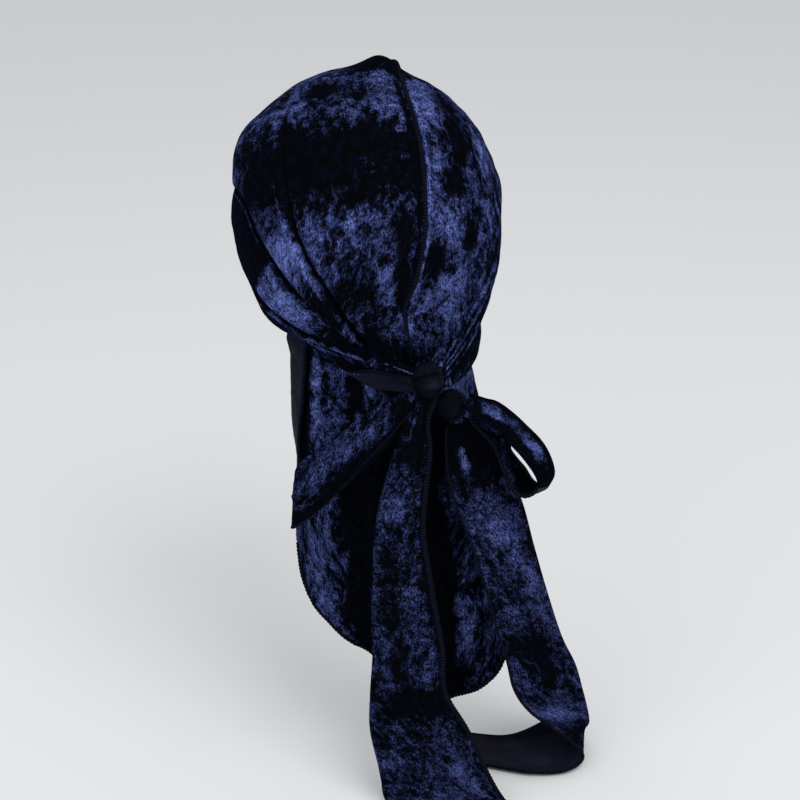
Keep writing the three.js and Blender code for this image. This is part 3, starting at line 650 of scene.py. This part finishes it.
def strap_point(side, s, d):
    """s runs from the upper edge to the lower one, d from the temple to the tie."""
    sign = 1 if side == "left" else -1
    t = strap_place(d)
    upper, lower, off = between(LEFT_STRAP if side == "left" else RIGHT_STRAP, t)
    pull = ease(t, BUNCHES_FROM, STRAP_END)
    lean = upper + (lower - upper) * s
    puff = 1.6 * math.sin(math.pi * held(s * 0.96 + 0.04)) + off * s * s + 0.6 * ease(s, 0, 0.2)
    if side == "left":
        puff += 2.6 * bell(t - 0.68, 0.08) * ease(s, 0.1, 0.5)
        off_crease = s - between(LEFT_CREASE, t)[0]
        deep = ease(t, 0.6, 0.68)
        puff += deep * (1.0 * bell(off_crease + 0.14, 0.1) - 2.6 * bell(off_crease, 0.026)
                        + 1.5 * bell(off_crease - 0.08, 0.05) - 0.9 * bell(off_crease - 0.17, 0.02))
    else:
        for middle in RIGHT_PLEATS:
            pleat = bell(s - middle + 0.06, 0.05) - bell(s - middle, 0.03)
            puff += 1.3 * ease(t, 0.62, 0.76) * pleat
    puff += 0.5 * rough(t * 30, s * 5, 4 * sign) * math.sin(math.pi * s)
    on_top = crown_point(t, sign * min(lean, 90), STRAP_REST + puff)
    on_top.z -= math.radians(max(0.0, lean - 90)) * from_axis(on_top)
    top_end, low_end = STRAP_ENDS[side]
    bunched = top_end.lerp(low_end, s)
    bunched.y += 1.2 * math.sin(s * 14) * pull
    p = on_top.lerp(bunched, pull)
    if side == "left":
        # the turned edge sags before the tie
        p.z -= 8.4 * bell(t - 0.868, 0.036) * s * s
    return clear_of_crown(p, STRAP_REST + 1.6 * ease(pull, 0, 0.3))


def left_strap_turned(s, d):
    t = strap_place(d)
    if s < DOUBLE_EDGE:
        return PILE_BOTH
    return BACK_OUT if t > LEFT_TURN[0][0] and s > between(LEFT_TURN, t)[0] else 0


def left_strap_pile_and_shade(s, d):
    """Painted highlights above and below the crease and painted shade in it, and painted light lines
    along the upper edge, further forward and near the tie.
    """
    t = strap_place(d)
    if left_strap_turned(s, d) == BACK_OUT:
        return 0.5 + 0.3 * rough(s * 4, t * 60, 2)
    off = s - between(LEFT_CREASE, max(0.6, t))[0]
    # painted highlights on the puffed cloth above and below the crease
    if off < 0:
        lit = ease(t, 0.63, 0.67) * (1 - ease(t, 0.77, 0.85))
        lie_and_shade = 0.05 + 0.75 * lit * (1 - 0.5 * ease(-off, 0.42, 0.55))
    else:
        lie_and_shade = 0.25 + 0.55 * bell(off - 0.11, 0.07) * ease(t, 0.66, 0.72)
        lie_and_shade += 0.35 * bell(off - 0.28, 0.1) * ease(t, 0.74, 0.8)
    near = ease(t, 0.845, 0.87)
    # painted shade in the crease
    lie_and_shade -= 0.7 * bell(off, 0.03) * ease(t, 0.6, 0.66) * (1 - near)
    # a painted light line along the upper edge
    lie_and_shade += 0.5 * bell(s - 0.02, 0.02) * ease(t, 0.38, 0.44) * (1 - ease(t, 0.58, 0.64))
    # near the tie, a painted light line by the upper edge and painted shade beside it
    lie_and_shade += near * (bell(s - 0.215, 0.028) - 0.7 * bell(s - 0.08, 0.08) + 0.15 * bell(s - 0.36, 0.1)
                   - 0.25)
    return held(lie_and_shade, -0.6, 1.3)


# Where the pile of the right strap stands up by the tie: place, across, reaches, change
RIGHT_TUFTS = [(0.922, 0.05, 0.014, 0.15, 0.5), (0.887, 0.9, 0.012, 0.08, 0.4)]


def right_strap_pile_and_shade(s, d):
    """A painted highlight beside each pleat, and painted shade in it."""
    t = strap_place(d)
    lines = sum(0.38 * bell(s - middle + 0.07, 0.035) - 0.4 * bell(s - middle, 0.05)
                for middle in RIGHT_PLEATS)
    return (0.3 + 0.3 * bell(s - 0.16, 0.06) + lines * ease(t, 0.66, 0.78)
            + patches(RIGHT_TUFTS, t, s))


for name, side, pile_and_shade, cut in (("left_strap", "left", left_strap_pile_and_shade, 0.0093),
                             ("right_strap", "right", right_strap_pile_and_shade, 0.0099)):
    strap = sheet_of_cloth(name + "_cloth", 50, 190, lambda s, d: strap_point(side, s, d), pile_and_shade,
                           (velvet, knit_back, velvet), flip=side == "right",
                           turned=left_strap_turned if side == "left" else None)
    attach(strap, "root")
    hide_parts(name)
    edging = []
    if side == "left":
        # the flat coverstitch along the turned part, as far as the tie
        line = []
        for k in range(61):
            t = COVERSTITCH_FROM + (STRAP_END - COVERSTITCH_FROM) * k / 60
            d = (t - STRAP_START) / (STRAP_END - STRAP_START)
            p = strap_point(side, between(LEFT_TURN, t)[0] - 0.02, d)
            line.append(p + head_normal(p) * 1.1)
        edging = [whipped_edge("left_strap_coverstitch", line, lambda share, p: head_normal(p),
                               4.0, 1.3, stitch=1.7, taper=(6, 2), ribs=0.14)]
        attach(edging[0], "root")

# ---- Flap ----
# A wide panel with a round hem hangs from under the tie over the neck. Its left edge is turned out
# and shows the back of the cloth.
# number, place on the rim, then x, y and z of the hem, and how far the cloth folds in or out
FLAP = [
    (0, 0.748, 54, 32, -188, 0), (1, 0.782, 52, 37, -210, 1), (2, 0.815, 47, 45, -226, 1),
    (3, 0.849, 39, 54, -238, 0), (4, 0.882, 29, 62, -247, 0), (5, 0.916, 17, 69, -256, -3),
    (6, 0.949, 3, 78, -267, 2), (7, 0.983, -10, 86, -278, 3), (8, 1.017, -22, 88, -287, -3),
    (9, 1.05, -34, 89, -286, -6), (10, 1.084, -46, 93, -275, 1), (11, 1.118, -56, 93, -264, 2),
    (12, 1.151, -66, 90, -246, 1), (13, 1.185, -79, 79, -200, 0),
]
# the turned-out margin: its width, the radius of its bend, how far down it opens, its share of s
MARGIN_WIDTH, MARGIN_BEND, MARGIN_OPENS, MARGIN_SHARE = 18.0, 2.3, 0.64, 0.14
# how far the flap is tucked up behind the rim, and over what share of its length
TUCK, TUCK_SHARE = 7.0, 0.04


def level_out(p):
    """The level way out from the head."""
    return Vector((p.x / HEAD.x**2, p.y / HEAD.y**2, 0))


def flap_point(s, d):
    """s runs from the left edge to the right one, d from the rim down to the hem."""
    top, x, y, z, fold = between(FLAP, FLAP[-1][0] * s)
    t, sign = (2 - top, -1) if top > 1 else (top, 1)
    start = crown_point(t, lean_above(-RIM_GAP, t, sign))
    tucked = 1 - ease(d, 0, TUCK_SHARE)
    start = start + RISE * TUCK * tucked - head_normal(start) * 2.2 * min(1.0, 1.6 * tucked)
    belly = 3 * math.sin(math.pi * d) * math.sin(math.pi * s) + fold * ease(d, 0.05, 0.5)
    # gathers under the tie, fine unevenness lower down, and a ridge beside the margin
    gathered = ease(d, 0, 0.08) * (1 - ease(d, 0.2, 0.5)) * bell(s - 0.55, 0.3)
    belly += 1.1 * math.sin(s * 60 + 2 * rough(s * 9, d * 3, 5)) * gathered
    belly += 0.9 * rough(s * 16, d * 10, 1) * ease(d, 0.05, 0.2) * ease(s, 0, 0.15)
    belly += 0.25 * rough(s * 60, d * 40, 2)
    belly += 2.2 * bell(s - 0.145, 0.022) * ease(d, 0.02, 0.15) * (1 - ease(d, 0.6, 0.8))
    drawn = 2.2 * ease(d, 0.03, 0.12) * (1 - ease(d, 0.7, 0.85)) + 3.0 * bell(d - 0.6, 0.13)
    out = level_out(start).normalized()
    return start.lerp(Vector((x, y, z)), d) + out * belly - LEFT * drawn * bell(s, 0.12)


def flap_margin(reach, d):
    """The margin, from its fold at reach 0 to its free edge at reach 1. It bends back on itself."""
    line = flap_point(0, d)
    outward = flap_point(0, max(d, 0.06)) - flap_point(0.04, max(d, 0.06))
    outward.z = 0
    outward.normalize()
    up = Vector((-outward.y, outward.x, 0))
    length = reach * (MARGIN_WIDTH * (1 - ease(d, MARGIN_OPENS, MARGIN_OPENS + 0.2)) + 2)
    bent = min(length / MARGIN_BEND, math.pi)
    straight = max(0.0, length - MARGIN_BEND * math.pi)
    if straight > 0:
        below = flap_point(0.1 * straight / (line - flap_point(0.1, d)).length, d)
        line = below + outward * straight * 0.04
        straight *= 0.04
    return (line + outward * (MARGIN_BEND * math.sin(bent) - straight)
            + up * (MARGIN_BEND * (1 - math.cos(bent)) - 0.3 * reach * (bent > 3)))


def flap_shape(s, d):
    if s < MARGIN_SHARE:
        return flap_margin((MARGIN_SHARE - s) / MARGIN_SHARE, d)
    return flap_point((s - MARGIN_SHARE) / (1 - MARGIN_SHARE), d)


# Where the pile lies bright or dark, with painted shadow beside the turned margin, under the strap by
# the tie, under the left loop and between the tails: down the cloth, across it, reach down, reach
# across, change
FLAP_PILE_AND_SHADE = [
    (0.75, 0.12, 0.12, 0.05, 0.1), (0.85, 0.2, 0.1, 0.05, 0.15), (0.5, 0.36, 0.22, 0.06, -0.8),
    (0.88, 0.36, 0.14, 0.06, -0.3), (0.35, 0.55, 0.2, 0.09, -0.7), (0.7, 0.66, 0.4, 0.06, -1.0),
    (0.6, 0.9, 0.3, 0.08, 0.25), (0.78, 0.735, 0.12, 0.025, 0.5), (0.93, 0.6, 0.05, 0.3, -0.1),
    (0.28, 0.095, 0.22, 0.035, -0.9), (0.2, 0.165, 0.2, 0.02, 0.3), (0.05, 0.8, 0.06, 0.14, 0.25),
    (0.17, 0.71, 0.07, 0.06, -0.7), (0.82, 0.25, 0.12, 0.05, -0.1), (0.7, 0.8, 0.2, 0.04, -0.1),
    (0.085, 0.375, 0.04, 0.028, -0.8), (0.07, 0.435, 0.04, 0.025, 0.3),
    (0.03, 0.52, 0.015, 0.05, -0.6), (0.048, 0.6, 0.011, 0.045, 0.5), (0.1, 0.52, 0.025, 0.03, 0.25),
    (0.055, 0.79, 0.02, 0.03, 0.4),
]


def flap_pile_and_shade(s, d):
    across = max(0.0, (s - MARGIN_SHARE) / (1 - MARGIN_SHARE))
    # the pile's tone with the painted shadows of the table
    return held(0.5 + patches(FLAP_PILE_AND_SHADE, d, across), -0.4, 1.1)


flap = sheet_of_cloth("flap_cloth", 150, 120, flap_shape, flap_pile_and_shade, (velvet, knit_back), flip=True)
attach(flap, "root")
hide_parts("flap")

hem_line = [flap_shape(s / 200, 1.0) for s in range(8, 201)]
hem = whipped_edge("flap_hem", hem_line, lambda share, p: level_out(p), 2.4, 4.0, ribs=0.12)
margin_line = [flap_shape(0, d / 200) for d in range(4, 170)]
margin = whipped_edge("flap_margin_edge", margin_line, lambda share, p: level_out(p), 2.2, 2.2)
for piece in (hem, margin):
    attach(piece, "root")

# ---- Bow loops and strap tails ----
# Past the tie each strap makes one loop of the bow and then hangs free. One edge is rolled, so that
# a second layer lies behind the one that shows, and the other edge is hemmed.
# Each row: hemmed edge x, y, z; rolled edge x, y, z; how proud the middle stands; the length turned
# behind; the angle it is turned through
LEFT_TAIL = [
    (-12, 103, -60, -7, 101, -66, 1, 3, 150), (-13, 101, -70, -3, 98, -72, 1, 5, 150),
    (-8, 102, -82, 2, 99, -85, 2, 8, 160), (-9, 104, -102, 9, 99, -105, 2, 14, 165),
    (-6, 105, -128, 16, 99, -131, 2, 24, 168), (-5, 105, -151, 19, 98, -154, 2, 30, 168),
    (-8, 107, -177, 20, 98, -178, 2, 32, 168), (-12, 109, -205, 21, 98, -205, 1, 32, 168),
    (-16, 111, -232, 21, 99, -233, 1, 30, 168), (-17, 114, -260, 23, 100, -261, 0, 28, 165),
    (-30, 119, -287, 24, 102, -286, -1, 18, 150), (-39, 127, -311, 20, 107, -312, -2, 9, 120),
    (-48, 137, -330, 18, 115, -331, -1, 3, 60), (-57, 157, -336, 13, 137, -336, 0, 1, 10),
    (-66, 186, -336, 10, 166, -336, 0, 1, 5),
]
RIGHT_TAIL = [
    (-22, 97, -88, -33, 97, -88, 1, 4, 120), (-21, 97, -99, -47, 97, -100, 1, 8, 140),
    (-22, 99, -120, -57, 101, -121, 2, 14, 150), (-28, 102, -143, -65, 105, -144, 3, 20, 150),
    (-36, 108, -168, -71, 110, -170, 3, 24, 145), (-44, 110, -195, -80, 111, -201, 2, 26, 135),
    (-51, 111, -223, -91, 112, -235, 2, 26, 120), (-58, 112, -247, -102, 111, -259, 1, 26, 105),
    (-63, 113, -268, -109, 109, -281, 1, 26, 92), (-73, 114, -285, -116, 103, -300, 0, 26, 82),
    (-89, 114, -301, -122, 95, -316, 0, 25, 74), (-107, 112, -320, -125, 85, -328, 0, 22, 68),
    (-112, 112, -332, -122, 79, -335, 0, 16, 60), (-98, 115, -336, -101, 78, -336, 0, 9, 50),
    (-76, 110, -336, -77, 76, -336, 0, 3, 40), (-53, 96, -336, -56, 65, -336, 0, 1, 30),
    (-30, 85, -336, -38, 54, -336, 0, 1, 20), (-8, 73, -336, -22, 42, -336, 0, 1, 10),
]
LEFT_LOOP = [
    (1, 101, -73, 3, 100, -66, 1, 5, 160), (9, 102, -82, 14, 100, -71, 2, 8, 165),
    (25, 102, -98, 31, 99, -80, 3, 14, 168), (42, 97, -120, 48, 95, -97, 3, 20, 168),
    (56, 91, -137, 57, 89, -109, 2, 22, 168), (66, 84, -148, 60, 83, -116, 1, 22, 168),
    (66, 76, -152, 58, 76, -117, 0, 22, 168), (56, 73, -146, 53, 73, -113, 1, 20, 168),
    (41, 77, -134, 42, 77, -105, 1, 18, 168), (25, 83, -117, 28, 82, -94, 1, 14, 168),
    (9, 89, -98, 13, 88, -81, 1, 8, 165), (2, 93, -82, 4, 92, -72, 1, 5, 160),
]
RIGHT_LOOP = [(*row, 1, 160) for row in [
    (-26, 109, -73, -33, 103, -68, 1), (-30, 114, -74, -40, 107, -70, 1),
    (-34, 118, -77, -47, 110, -72, 2), (-40, 122, -80, -55, 114, -78, 2),
    (-45, 125, -84, -62, 117, -85, 2), (-50, 127, -91, -70, 120, -94, 2),
    (-57, 129, -100, -75, 122, -103, 2), (-63, 131, -109, -78, 123, -113, 1),
    (-66, 130, -117, -77, 122, -120, 0), (-64, 127, -124, -73, 120, -126, 0),
    (-59, 124, -126, -67, 116, -122, 0), (-53, 121, -121, -63, 113, -115, 0),
    (-50, 119, -113, -59, 110, -110, 0), (-47, 118, -104, -55, 108, -104, 0),
    (-44, 116, -96, -54, 107, -98, 0), (-37, 113, -87, -47, 105, -89, 0),
    (-30, 109, -79, -39, 103, -81, 0),
]]


FRONT_SHARE, BEND_SHARE = 0.62, 0.74    # of s: the side that shows, and the end of the roll


def strap_end(rows, seed, lapped, roll):
    """The shape of a strap end from its table. lapped puts the rolled edge on the outer side."""
    last = len(rows) - 1
    table = [(i / last, *row) for i, row in enumerate(rows)]

    def shape(s, d):
        row = between(table, d)
        a, b = Vector(row[0:3]), Vector(row[3:6])
        belly, over, turn = row[6], max(1.0, row[7]), math.radians(max(1.0, row[8]))
        ahead, behind = between(table, min(1, d + 0.01)), between(table, max(0, d - 0.01))
        along = (Vector(ahead[0:3]) + Vector(ahead[3:6])
                 - Vector(behind[0:3]) - Vector(behind[3:6])).normalized()
        across = (b - a).normalized()
        out = along.cross(across).normalized()
        if lapped:
            out = -out
            b = b + out * 2 * roll * ease(over, 2, 8)
            across = (b - a).normalized()
            out = (out - across * out.dot(across)).normalized()
        if s <= FRONT_SHARE:
            share = s / FRONT_SHARE
            wide = (b - a).length
            crumple = 0.8 * rough(share * wide / 16, d * last * 0.9, seed)
            bulge = (belly + crumple) * math.sin(math.pi * share)
            bulge += 0.3 * rough(share * wide / 5, d * last * 3, seed + 7)
            return a.lerp(b, share) + out * bulge
        bent = turn * min(1.0, (s - FRONT_SHARE) / (BEND_SHARE - FRONT_SHARE))
        rolled = b + across * roll * math.sin(bent) - out * roll * (1 - math.cos(bent))
        onward = across * math.cos(turn) - out * math.sin(turn)
        return rolled + onward * over * max(0.0, (s - BEND_SHARE) / (1 - BEND_SHARE))

    return shape


# Where the pile lies bright or dark, with painted shade on the left tail, at the top of the right
# tail under the loop and inside the right loop, and painted highlights on the right tail: across,
# along, reach across, reach along, change
STRAP_PILE_AND_SHADE = {
    "left_tail": [
        (0.3, 0.15, 0.3, 0.09, -0.3), (0.4, 0.28, 0.14, 0.05, 0.2), (0.5, 0.14, 0.06, 0.03, 0.4),
        (0.5, 0.4, 0.1, 0.1, -0.15), (0.0, 0.4, 0.06, 0.3, -0.4), (0.3, 0.66, 0.25, 0.03, -0.35),
        (0.12, 0.8, 0.12, 0.08, 0.08),
    ],
    "right_tail": [
        (0.3, 0.0, 0.4, 0.09, -1.2), (0.2, 0.085, 0.06, 0.028, 0.95), (0.25, 0.19, 0.15, 0.05, 0.2),
        (0.5, 0.27, 0.1, 0.06, 0.15), (0.25, 0.38, 0.25, 0.02, -0.3), (0.3, 0.44, 0.3, 0.05, -0.08),
        (0.3, 0.545, 0.25, 0.018, 0.15), (0.3, 0.54, 0.4, 0.035, 0.2), (0.5, 0.63, 0.5, 0.03, -0.25),
        (0.4, 0.83, 0.6, 0.08, -0.35), (0.2, 0.793, 0.13, 0.014, 0.9), (0.5, 0.828, 0.14, 0.014, 0.8),
    ],
    "left_loop": [
        (0.45, 0.18, 0.12, 0.1, 0.2), (0.2, 0.27, 0.15, 0.06, -0.2), (0.35, 0.06, 0.3, 0.05, -0.3),
        (0.05, 0.3, 0.08, 0.4, -0.4), (0.3, 0.55, 0.3, 0.08, -0.1),
    ],
    "right_loop": [
        (0.25, 0.15, 0.2, 0.06, 0.28), (0.3, 0.33, 0.12, 0.04, 0.3), (0.05, 0.25, 0.1, 0.15, -0.8),
        (0.4, 0.34, 0.2, 0.06, 0.2), (0.58, 0.25, 0.08, 0.2, -0.6), (0.3, 0.5, 0.3, 0.08, -0.6),
        (0.4, 0.62, 0.5, 0.08, -0.3), (0.5, 0.8, 0.2, 0.1, -0.05),
    ],
}
# name, table, seed of its wrinkles, whether the rolled edge lies outside, radius of the roll, width
# of the hem, steps along it, size of the cut, area of the cut
BOW_PIECES = [
    ("left_tail", LEFT_TAIL, 11, True, 2.4, 4.4, 190, (0.1, 0.31), 0.0208),
    ("right_tail", RIGHT_TAIL, 23, False, 2.4, 1.9, 240, (0.1, 0.42), 0.0207),
    ("left_loop", LEFT_LOOP, 37, True, 2.4, 1.5, 140, (0.08, 0.17), 0.0076),
    ("right_loop", RIGHT_LOOP, 41, False, 1.0, 3.0, 140, (0.04, 0.13), 0.0028),
]
BACK_SHOWS_FROM = 0.52      # where the right loop turns its back out

for name, rows, seed, lapped, roll, hem_width, along, flat, cut in BOW_PIECES:
    spots = STRAP_PILE_AND_SHADE[name]
    place = strap_end(rows, seed, lapped, roll)
    # the pile's tone with the painted shade and highlights of its table
    ribbon = sheet_of_cloth(name + "_cloth", 56, along, place,
                            lambda s, d: held(0.45 + patches(spots, s, d), -0.6, 1.2),
                            (calm_velvet, knit_back, calm_velvet), cloth=1.4, flip=not lapped,
                            turned=(lambda s, d: BACK_OUT if d > BACK_SHOWS_FROM else 0)
                            if name == "right_loop" else None)
    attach(ribbon, "root")
    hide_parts(name)

    def facing(d):
        d = held(d, 0.01, 0.99)
        return (place(0.1, d) - place(0, d)).cross(place(0, d + 0.01) - place(0, d - 0.01))

    # the right loop's hem shows only on the half that turns its back out
    begins = 76 if name == "right_loop" else 0
    hem = whipped_edge(name + "_hem", [place(0, k / 150) for k in range(begins, 151)],
                       lambda share, p: facing((begins + share * (150 - begins)) / 150),
                       hem_width, 2.3, taper=(4, 4), narrows=0.4 if name == "left_tail" else 0.0)
    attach(hem, "root")

# ---- Knot ----
# The straps cross and are wound once over each other. The back of the cloth shows on both turns.


def knot_turn(name, centre, size, tilt, folds, pleats, highlight):
    """One turn of the tie: a ball of pulled cloth. folds is (height, depth, width) for each crease,
    pleats how deep its fine gathers are, and the last argument how bright a highlight painted on the
    middle of the ball is; the painted highlight is left out of its creases and a painted band of
    light lies near its top."""
    bm = bmesh.new()
    lengths = bm.loops.layers.uv.new("cloth")
    painted_highlight = bm.verts.layers.float.new("pile_and_shade")
    bmesh.ops.create_uvsphere(bm, u_segments=96, v_segments=64, radius=1.0)
    turn = Matrix.Rotation(math.radians(tilt), 3, "Y")
    for v in bm.verts:
        p = v.co.copy()
        ahead = ease(p.y, -0.4, 0.3)
        swell = 1.0 + 0.035 * rough(p.x * 2, p.y * 2, p.z * 3)
        creased = 0.0
        for height, depth, width in folds:
            off = p.z - height - 0.3 * (1 - p.x * p.x)
            swell += depth * ahead * (0.5 * bell(off - 1.8 * width, 1.3 * width) - bell(off, width))
            creased += bell(off - width, 2.2 * width)
        gathers = math.sin(p.z * 22 + 3 * rough(p.x * 3, p.z * 2, 4))
        swell += pleats * abs(p.x) ** 3 * ahead * gathers
        # a painted highlight on the middle of the ball, left out in its creases, and a painted band
        # of light near its top
        lit = highlight * bell(p.x + 0.1, 0.5) * bell(p.z + 0.1, 0.42) * (1 - 0.9 * creased)
        v[painted_highlight] = held(lit + 0.1 * rough(p.x * 9, p.y * 3, p.z * 6)
                         + 0.25 * highlight * bell(p.z - 0.8, 0.3))
        q = turn @ Vector((p.x * size.x, p.y * size.y, p.z * size.z)) * swell
        v.co = (q + centre) * 0.001
    lay_out(bm, lengths, lambda v: (v.co.z, v.co.x))
    piece = piece_from(name, bm, [knit_with_painted_highlight])
    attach(piece, "root")
    return piece


# The same knit on the turns of the tie, painted paler where the vertex layer paints a highlight on
# it.
knit_with_painted_highlight, tree, surface = plain_material("knit_painted_highlight")
grain = noise_fac(tree, node(tree, "ShaderNodeTexCoord").outputs["Object"], 700.0, 4.0)
# the painted highlight from the vertex layer, broken up by grain
pull = scaled(tree, pile_and_shade_on(tree), scaled(tree, grain, 1.2, 0.4))
feed(tree, surface, {
    "Base Color": blend_colours(tree, pull, (0.0016, 0.002, 0.0038, 1), (0.0165, 0.019, 0.038, 1)),
    "Normal": bumped(tree, grain, 0.35, 0.0004), "Roughness": 0.6, "Specular IOR Level": 0.02})

knot = knot_turn("knot_turn", Vector((-9, 99, -58)), Vector((9, 8, 10.8)), 8,
                 [(0.26, 0.22, 0.07), (-0.75, 0.06, 0.1)], 0.035, 0.62)
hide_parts("knot")
WRAP = Vector((-22.5, 101, -73.5))
wrap = knot_turn("knot_wrap_turn", WRAP, Vector((8.6, 8, 9.0)), -20, [(0.45, 0.1, 0.08)], 0.04, 0.1)
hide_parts("knot_wrap")
# the strap's hem comes round the right of the second turn
rim_line = []
for a in range(60, -94, -3):
    lift, swing = math.radians(a), math.radians(48 + min(0, a) * 0.4)
    rim_line.append(WRAP + Vector((-9.2 * math.sin(swing) * math.cos(lift),
                                   8.4 * math.cos(swing) * math.cos(lift), 9.6 * math.sin(lift))))
rim = whipped_edge("knot_wrap_hem", rim_line, lambda share, p: p - WRAP, 3.8, 2.2, stitch=2.2,
                   taper=(3, 5), ribs=0.12)
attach(rim, "root")

# ---- Floor, light and camera ----
# The camera stands behind the wearer, a little above.
FLOOR_Z = -0.3392
bm = bmesh.new()
bmesh.ops.create_grid(bm, x_segments=1, y_segments=1, size=6.0)
bmesh.ops.translate(bm, vec=(0, 0, FLOOR_Z), verts=bm.verts)
pale, tree, surface = plain_material("pale_floor")
feed(tree, surface, {"Base Color": (0.8, 0.8, 0.8, 1), "Roughness": 0.9})
floor = piece_from("floor", bm, [pale])


def soft_light(name, place, target, size, power):
    lamp = bpy.data.lights.new(name, "AREA")
    lamp.shape, lamp.size, lamp.energy = "SQUARE", size, power
    holder = bpy.data.objects.new(name, lamp)
    holder.location = place
    holder.rotation_euler = (Vector(target) - Vector(place)).to_track_quat("-Z", "Y").to_euler()
    bpy.context.scene.collection.objects.link(holder)


soft_light("key", (-0.35, 1.2, 1.7), (0, 0, -0.1), 1.2, 19)
soft_light("fill", (1.5, 1.0, 0.8), (0, 0, -0.1), 1.6, 7)

world = bpy.data.worlds.new("studio")
bpy.context.scene.world = world
world.use_nodes = True
feed(world.node_tree, world.node_tree.nodes["Background"],
     {"Color": (0.95, 0.97, 1.0, 1), "Strength": 0.72})
bpy.context.scene.view_settings.view_transform = "Standard"

turn, dip = math.radians(16), math.radians(24)
out = Vector((math.sin(turn), math.cos(turn), 0))
right = Vector((-math.cos(turn), math.sin(turn), 0))
ahead = -out * math.cos(dip) - Vector((0, 0, math.sin(dip)))
up = right.cross(ahead)
camera = bpy.data.objects.new("camera", bpy.data.cameras.new("camera"))
camera.data.lens, camera.data.sensor_width = 67.5, 36.0
stand = out * 0.87 + right * 0.0204 + Vector((0, 0, 0.276))
camera.matrix_world = Matrix.Translation(stand) @ Matrix((right, up, -ahead)).transposed().to_4x4()
bpy.context.scene.collection.objects.link(camera)
bpy.context.scene.camera = camera
